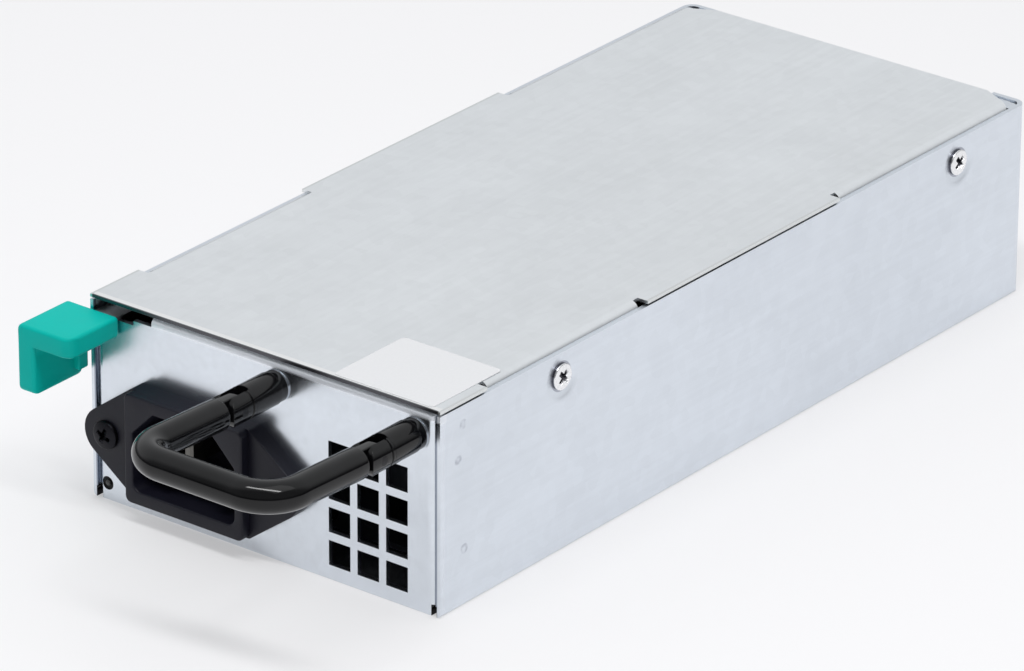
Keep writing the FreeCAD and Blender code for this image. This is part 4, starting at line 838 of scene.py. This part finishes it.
class PSU_OT_inlet(Operator):
    """Builds the mains inlet's moulding and finishes its blades."""

    bl_idname = "psu.inlet"
    bl_label = "Mains Inlet"

    def execute(self, context):
        sizes = context.scene.psu_inlet
        add_piece("inlet_moulding", [skin(self.moulding(sizes))],
                  moulded("inlet_plastic", sizes.colour, 0.48, 1500.0, 0.00003, gloss=0.32),
                  "chassis", ["inlet_housing"], sharp=28.0)
        # Painted shade: the blades are coloured darker because they sit in shade in the plug's
        # hollow.
        dress(plain_metal("pin_nickel", (0.16, 0.155, 0.145), 0.35), "inlet_pins")
        return {"FINISHED"}

    @staticmethod
    def moulding(sizes):
        """Loops about the inlet's middle, from the back of the body over the flange and the boss
        into the plug's hollow. Every loop is a distance for each direction, read off an outline,
        so neighbouring loops join straight across."""
        low, high = (np.array(c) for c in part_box("inlet_housing"))
        middle = ((low[0] + high[0]) / 2, (low[2] + high[2]) / 2)
        half_w, half_h = (high[0] - low[0]) / 2, (high[2] - low[2]) / 2
        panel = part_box("case_base")[0][1]
        flange_y = panel - sizes.flange
        turn = np.linspace(0, 2 * np.pi, 720, endpoint=False)
        boss_w, ear = sizes.boss_width / 2, sizes.ear_radius
        tip = half_w - ear
        away = math.hypot(tip - boss_w, half_h)
        lean = math.atan2(half_h, boss_w - tip) - math.acos(ear / away)
        point = tip + ear / math.cos(lean)
        blunt = 0.8 * MM
        flange = reach(rounded_polygon(
            [(boss_w, half_h), (-boss_w, half_h), (-point, 0), (-boss_w, -half_h),
             (boss_w, -half_h), (point, 0)], [blunt, blunt, ear, blunt, blunt, ear]), turn)
        boss_round, body_round = 1.2 * MM, 1.5 * MM
        boss = reach(rounded_rectangle(boss_w, half_h, boss_round)[0], turn)
        boss = np.minimum(boss, flange)
        body = reach(rounded_rectangle(sizes.body_width / 2, sizes.body_height / 2,
                                       body_round)[0], turn)
        w, h, cut = sizes.plug_width / 2, sizes.plug_height / 2, sizes.plug_cut
        small, low_corner = 0.6 * MM, sizes.plug_round
        plug = reach(rounded_polygon(
            [(w, -h), (w, h - cut), (w - cut, h), (cut - w, h), (-w, h - cut), (-w, -h)],
            [low_corner, small, small, small, small, low_corner]), turn)
        front = low[1]
        floor = front + sizes.plug_depth
        ease, mouth = 0.6 * MM, 0.4 * MM
        boss_soft, ear_soft, fade = 0.4 * MM, 0.25 * MM, 1.5 * MM
        flange_soft = np.clip((flange - boss) / fade, 0, 1) * ear_soft
        draw, run = quarter(6)
        loops = [(body * 0.5, high[1]), (body - ease, high[1]), (body, high[1] - ease),
                 (body, panel), (flange, panel)]
        loops += [(flange - flange_soft * r, flange_y + flange_soft * d)
                  for d, r in zip(draw, run)]
        loops.append((boss, flange_y))
        loops += [(boss - boss_soft * r, front + boss_soft * d) for d, r in zip(draw, run)]
        loops += [(plug + mouth * d, front + mouth * r) for d, r in zip(draw, run)]
        loops += [(plug, floor - mouth), (plug - mouth, floor), (plug * 0.5, floor)]
        distance = np.stack([np.broadcast_to(d, turn.shape) for d, _ in loops])
        depth = np.stack([np.broadcast_to(y, turn.shape) for _, y in loops])
        return np.stack([middle[0] + distance * np.cos(turn), depth,
                         middle[1] + distance * np.sin(turn)], axis=-1)


class PSU_OT_screws(Operator):
    """Builds the cross-head screws in the ears, the side walls and the rear."""

    bl_idname = "psu.screws"
    bl_label = "Screws"

    def execute(self, context):
        sizes = context.scene.psu_screws
        bright = plain_metal("screw_zinc", (0.86, 0.87, 0.88), 0.24, 1800.0)
        shaded = self.shaded_head(sizes)
        black = plain_metal("screw_black_oxide", (0.020, 0.020, 0.024), 0.42, 1800.0)
        low, high = (np.array(c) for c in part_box("inlet_screws"))
        r = sizes.inlet_head
        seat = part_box("case_base")[0][1] - context.scene.psu_inlet.flange
        skins = [self.head(sizes, (x, seat, (low[2] + high[2]) / 2), 1, -1, r,
                           sizes.inlet_tall, 0.40, 25 + 40 * i)
                 for i, x in enumerate((low[0] + r, high[0] - r))]
        add_piece("inlet_screw_heads", skins, black, "chassis",
                  ["inlet_screws"], sharp=40)
        low, high = (np.array(c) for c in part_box("cover_screws"))
        r = sizes.cover_head
        skins = [self.head(sizes, (face - side * sizes.cover_seat, y, (low[2] + high[2]) / 2),
                           0, side, r, sizes.cover_tall, 0.22, 45 + spin)
                 for face, side in ((low[0], -1), (high[0], 1))
                 for y, spin in ((low[1] + r, 0), (high[1] - r, 6))]
        add_piece("cover_screw_heads", skins, shaded, "chassis",
                  ["cover_screws"], sharp=40)
        low, high = (np.array(c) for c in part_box("rear_screws"))
        r, tall = sizes.rear_head, sizes.rear_tall
        skins = [self.head(sizes, (x, high[1] - tall, (low[2] + high[2]) / 2), 1, 1, r, tall,
                           0.4, 30 * i)
                 for i, x in enumerate((low[0] + r, high[0] - r))]
        add_piece("rear_screw_heads", skins, bright, "chassis",
                  ["rear_screws"], sharp=40)
        dress(bright, "fan_screws", "board_screws", "board_standoffs")
        return {"FINISHED"}

    @staticmethod
    def shaded_head(sizes):
        """Bright zinc on the face of the cover's heads, and painted shade in the cross and round
        them.
        """
        metal = plain_metal("screw_zinc_worn", (0.95, 0.95, 0.96), 0.24, 1800.0,
                            darker=(0.82, 0.83, 0.84), smoother=0.04)
        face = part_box("cover_screws")[1][0] - sizes.cover_seat + sizes.cover_tall
        # Painted shade: deeper than 0.42 mm below the face, in the cross and round the head.
        metal.stain(metal.until(metal.along("X", 0.0), face - 0.42 * MM, 0.17 * MM), sizes.recess_shade)
        return metal

    @staticmethod
    def head(sizes, seat, axis, out, radius, tall, dome, turned_by):
        """One head with a short shank. Its height falls from the middle to the rim as a circle's
        arc does, less a cross: two bars at right angles whose floors slope up towards their
        ends."""
        turn = np.linspace(0, 2 * np.pi, 144, endpoint=False)[None, :]
        outermost = 0.93
        share = np.concatenate([np.linspace(0.02, 0.62, 22),
                                np.linspace(0.64, outermost, 8)])[:, None]
        u = share * radius * np.cos(turn + math.radians(turned_by))
        v = share * radius * np.sin(turn + math.radians(turned_by))
        half = sizes.recess_width / 2
        arm = radius * 0.56
        soft = 0.10 * MM

        def bar(a, b):
            """The share of its full depth that an arm of the cross has at each point."""
            wide = np.clip((half - np.abs(b)) / soft + 0.5, 0, 1)
            long = np.clip((arm - np.abs(a)) / (0.45 * arm), 0, 1)
            return wide * long ** 0.6

        cross = np.maximum(bar(u, v), bar(v, u)) * sizes.recess_depth
        height = tall * (1 - dome * share ** 2) - cross
        edge = tall * (1 - dome * outermost ** 2)
        rim_share = np.array([0.965, 0.985, 1.0, 1.0])[:, None]
        rim_height = np.array([edge * 0.93, edge * 0.80, edge * 0.55, 0.0])[:, None]
        shank = np.array([0.5, 0.5])[:, None]
        shank_height = np.array([0.0, -2.0 * MM])[:, None]
        distance = np.concatenate([share, rim_share, shank]) * radius
        rise = np.concatenate([height, rim_height + 0 * turn, shank_height + 0 * turn])
        distance = np.broadcast_to(distance, rise.shape)
        rows = np.zeros(rise.shape + (3,))
        others = [i for i in range(3) if i != axis]
        rows[..., others[0]] = seat[others[0]] + distance * np.cos(turn)
        rows[..., others[1]] = seat[others[1]] + distance * np.sin(turn)
        rows[..., axis] = seat[axis] + out * rise
        return skin(rows)


class PSU_OT_label(Operator):
    """Builds the blank sticker on the cover."""

    bl_idname = "psu.label"
    bl_label = "Sticker"

    def execute(self, context):
        looks = context.scene.psu_label
        add_piece("blank_label", [skin(self.film(looks))], sticker(looks.colour),
                  "chassis", ["label_sheet"])
        return {"FINISHED"}

    @staticmethod
    def film(looks):
        """A rounded rectangle drawn in towards its middle in rings. The thickness swells and dips
        a little, as two crossed sine waves, and falls to nothing at the rim."""
        low, high = (np.array(c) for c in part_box("label_sheet"))
        middle, half = (low + high) / 2, (high - low) / 2
        outline = rounded_rectangle(half[0], half[1], looks.corner, 8)[0]
        share = np.concatenate([[1.0, 1.0, 0.994], np.linspace(0.98, 0.05, 24)])[:, None, None]
        spot = outline[None] * share
        thick = high[2] - low[2]
        swell = 0.10
        rise = 0.8 + swell * np.sin(spot[..., 0] * 500) * np.sin(spot[..., 1] * 400 + 1)
        rise[0] = 0.0
        rise[1] = 0.5
        return np.stack([middle[0] + spot[..., 0], middle[1] + spot[..., 1],
                         low[2] + thick * rise], axis=-1)


class PSU_OT_lamp(Operator):
    """Builds the light pipe in the panel's corner."""

    bl_idname = "psu.lamp"
    bl_label = "Status Light"

    def execute(self, context):
        low, high = (np.array(c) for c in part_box("status_led"))
        centre = ((low[0] + high[0]) / 2, low[1], (low[2] + high[2]) / 2)
        lens, hole, body = 0.55 * MM, 1.35 * MM, (high[0] - low[0]) / 2
        groove, step = 0.5 * MM, 1.2 * MM
        dome = [(lens * math.sin(a), 0.30 * MM * (1 - math.cos(a)))
                for a in np.linspace(0.05, math.pi / 2, 9)]
        rows = turned(dome + [(lens, groove), (hole, groove), (hole, step), (body, step),
                              (body, high[1] - low[1])], centre, 1, 40)
        add_piece("status_lens", [skin(rows)],
                  light_pipe((0.16, 0.165, 0.16), low[1] + 0.35 * MM), "chassis",
                  ["status_led"])
        return {"FINISHED"}


class PSU_OT_fan(Operator):
    """Finishes the fan behind the vents."""

    bl_idname = "psu.fan"
    bl_label = "Fan"

    def execute(self, context):
        dress(moulded("fan_plastic", (0.028, 0.032, 0.042), 0.5), "fan_frame", "fan_impeller")
        dress(plain_metal("motor_stack", (0.28, 0.15, 0.08), 0.45, 900.0, (1.0, 8.0, 1.0)),
              "fan_stator")
        dress(plain_metal("shaft_steel", (0.6, 0.6, 0.61), 0.25), "fan_shaft")
        return {"FINISHED"}


class PSU_OT_boards(Operator):
    """Finishes the circuit boards and everything soldered to them."""

    bl_idname = "psu.boards"
    bl_label = "Boards"

    def execute(self, context):
        dress(laminate((0.012, 0.075, 0.030)), "main_board", "control_board")
        dress(plain_metal("contact_gold", (0.86, 0.62, 0.25), 0.24), "card_contacts")
        dress(wound_wire((0.62, 0.24, 0.09)), "noise_choke_windings", "boost_choke_winding",
              "output_choke_winding")
        dress(moulded("ferrite", (0.035, 0.035, 0.04), 0.7, 1500.0, 0.00006), "transformer_core")
        dress(plain_metal("fin_aluminium", (0.70, 0.71, 0.72), 0.35, 1200.0, (1.0, 0.04, 1.0)),
              "primary_heat_sink", "secondary_heat_sink")
        for name, colour, roughness, *nodes in (
                ("insulating_film", (0.70, 0.66, 0.52), 0.3, "insulation_sheet"),
                ("choke_coating", (0.05, 0.18, 0.08), 0.45, "noise_choke_core",
                 "boost_choke_core", "output_choke_core"),
                ("winding_tape", (0.72, 0.50, 0.05), 0.35, "transformer_windings"),
                ("package_plastic", (0.025, 0.025, 0.027), 0.5, "relay", "primary_transistors",
                 "secondary_transistors", "transformer_base", "control_chips"),
                ("can_sleeve", (0.02, 0.02, 0.028), 0.25, "bulk_capacitor", "output_capacitors"),
                ("film_capacitor", (0.70, 0.50, 0.04), 0.4, "line_capacitor"),
                ("fuse_glass", (0.75, 0.77, 0.74), 0.12, "fuse"),
                ("wire_cover", (0.18, 0.012, 0.01), 0.45, "inlet_wires")):
            dress(moulded(name, colour, roughness), *nodes)
        return {"FINISHED"}


class PSU_OT_studio(Operator):
    """Sets the floor, the even light, the lamps and the camera."""

    bl_idname = "psu.studio"
    bl_label = "Studio"

    def execute(self, context):
        setup = context.scene.psu_studio
        self.floor(setup)
        self.room(context, setup)
        self.lamp("key_lamp", (0.45, -0.10, 1.15), (0.0, -0.02, 0.02), (0, 1, 0), (0.9, 0.9),
                  setup.key_light)
        self.lamp("strip_lamp", (0.22, -0.34, 0.98), (0.03, -0.13, 0.04), (0.97, 0.18, -0.16),
                  (1.0, 0.12), setup.strip_light)
        self.camera(context, setup)
        context.scene.view_settings.view_transform = "Standard"
        return {"FINISHED"}

    @staticmethod
    def floor(setup):
        """A flat round floor, in rings about the object. Seen directly or in a glossy surface, it
        is mixed with an even pale glow, which softens its shadows."""
        rings = turned([(0.02, 0), (0.5, 0), (1.5, 0), (6.0, 0)], (0, 0, 0), 2, 96)
        points, faces = skin(rings, caps=(True, False))
        mesh = bpy.data.meshes.new("floor")
        mesh.from_pydata(points.tolist(), [], [face[::-1] for face in faces])
        paper = Finish("floor_paper", setup.floor_colour, 0.9)
        paper.dull(paper.cloud(300.0), 0.85, 0.95)
        paper.set(Specular_IOR_Level=0.1)
        glow = paper.add("Emission", {"Color": (0.955, 0.955, 0.970, 1.0)})
        path = paper.add("LightPath").outputs
        seen = paper.joined(path["Is Camera Ray"], path["Is Glossy Ray"], "MAXIMUM")
        mix = paper.add("MixShader", {"Fac": paper.spread(seen, 0, 1, 0, setup.floor_glow),
                                      1: paper.shader.outputs["BSDF"],
                                      2: glow.outputs["Emission"]})
        feed(paper.tree, paper.tree.nodes["Material Output"].inputs["Surface"],
             mix.outputs["Shader"])
        mesh.materials.append(paper.material)
        piece = bpy.data.objects.new("floor", mesh)
        bpy.context.scene.collection.objects.link(piece)

    @staticmethod
    def room(context, setup):
        """Even pale light from above, dimmer along the horizon and towards the room in front of
        the table. The first follows a direction's height, the second the cosine between it and
        the dim stretch's middle. Seen directly, the room is pale."""
        world = bpy.data.worlds.new("room")
        world.use_nodes = True
        tree = world.node_tree
        direction = add_node(tree, "TexCoord").outputs["Generated"]
        shares = []
        for middle, start, end, first, last in (
                ((0.0, 0.0, 1.0), 0.06, 0.26, 0.20 * setup.room_light, setup.room_light),
                ((0.50, -0.60, -0.62), -0.50, -0.05, 1.0, 0.30)):
            cosine = add_node(tree, "VectorMath", {0: direction, 1: Vector(middle).normalized()},
                              operation="DOT_PRODUCT").outputs["Value"]
            share = add_node(tree, "MapRange", {"Value": cosine, "From Min": start,
                                                "From Max": end, "To Min": first,
                                                "To Max": last}, interpolation_type="SMOOTHSTEP")
            shares.append(share.outputs["Result"])
        strength = add_node(tree, "Math", enumerate(shares), operation="MULTIPLY")
        seen = add_node(tree, "LightPath").outputs["Is Camera Ray"]
        seen = add_node(tree, "Mix", {"Factor": seen, "A": strength.outputs["Value"], "B": 0.95})
        sky = tree.nodes["Background"].inputs
        feed(tree, sky["Color"], (0.97, 0.985, 1.0, 1.0))
        feed(tree, sky["Strength"], seen.outputs["Result"])
        context.scene.world = world

    @staticmethod
    def lamp(name, place, target, along, size, power):
        """A rectangular soft lamp that faces a target, with its long side along a direction."""
        light = bpy.data.lights.new(name, "AREA")
        light.shape = "RECTANGLE"
        light.size, light.size_y = size
        light.energy = power
        back = (Vector(place) - Vector(target)).normalized()
        side = Vector(along) - Vector(along).dot(back) * back
        side.normalize()
        lamp = bpy.data.objects.new(name, light)
        lamp.location = place
        lamp.rotation_euler = Matrix((side, back.cross(side), back)).transposed().to_euler()
        bpy.context.scene.collection.objects.link(lamp)

    @staticmethod
    def camera(context, setup):
        """A long lens, high to the right of the inlet's panel."""
        lens = bpy.data.cameras.new("camera")
        lens.sensor_width = 36.0
        lens.lens = setup.focal_length
        lens.clip_end = 20.0
        camera = bpy.data.objects.new("camera", lens)
        camera.location = setup.camera_place
        camera.rotation_euler = Euler(setup.camera_turn, "XYZ")
        context.scene.collection.objects.link(camera)
        context.scene.camera = camera


# ------------------------------------------------------------------ panel and registration
STEPS = [PSU_OT_case, PSU_OT_handle, PSU_OT_latch, PSU_OT_inlet, PSU_OT_screws, PSU_OT_label,
         PSU_OT_lamp, PSU_OT_fan, PSU_OT_boards, PSU_OT_studio]
GROUPS = {"psu_sheet": SheetMetal, "psu_bail": BailSizes, "psu_grip": GripSizes,
          "psu_inlet": InletSizes, "psu_screws": ScrewSizes, "psu_label": LabelLooks,
          "psu_studio": Studio}


class PSU_PT_sidebar(Panel):
    """Lists the pieces and their sizes."""

    bl_idname = "PSU_PT_sidebar"
    bl_label = "Power Supply"
    bl_space_type = "VIEW_3D"
    bl_region_type = "UI"
    bl_category = "Power Supply"

    def draw(self, context):
        for step in STEPS:
            self.layout.operator(step.bl_idname)
        for name, group in GROUPS.items():
            box = self.layout.box()
            box.label(text=group.__doc__)
            for field in group.__annotations__:
                box.prop(getattr(context.scene, name), field)


def register():
    """Adds the classes, and the sizes to the scene."""
    for group in GROUPS.values():
        bpy.utils.register_class(group)
    for step in STEPS:
        bpy.utils.register_class(step)
    bpy.utils.register_class(PSU_PT_sidebar)
    for name, group in GROUPS.items():
        setattr(bpy.types.Scene, name, PointerProperty(type=group))


def unregister():
    """Takes them away again."""
    for name in GROUPS:
        delattr(bpy.types.Scene, name)
    bpy.utils.unregister_class(PSU_PT_sidebar)
    for cls in [*STEPS, *GROUPS.values()]:
        bpy.utils.unregister_class(cls)


def main():
    """Builds every piece in order."""
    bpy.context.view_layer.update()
    register()
    for step in STEPS:
        getattr(bpy.ops.psu, step.bl_idname.removeprefix("psu."))()


if __name__ == "__main__":
    main()
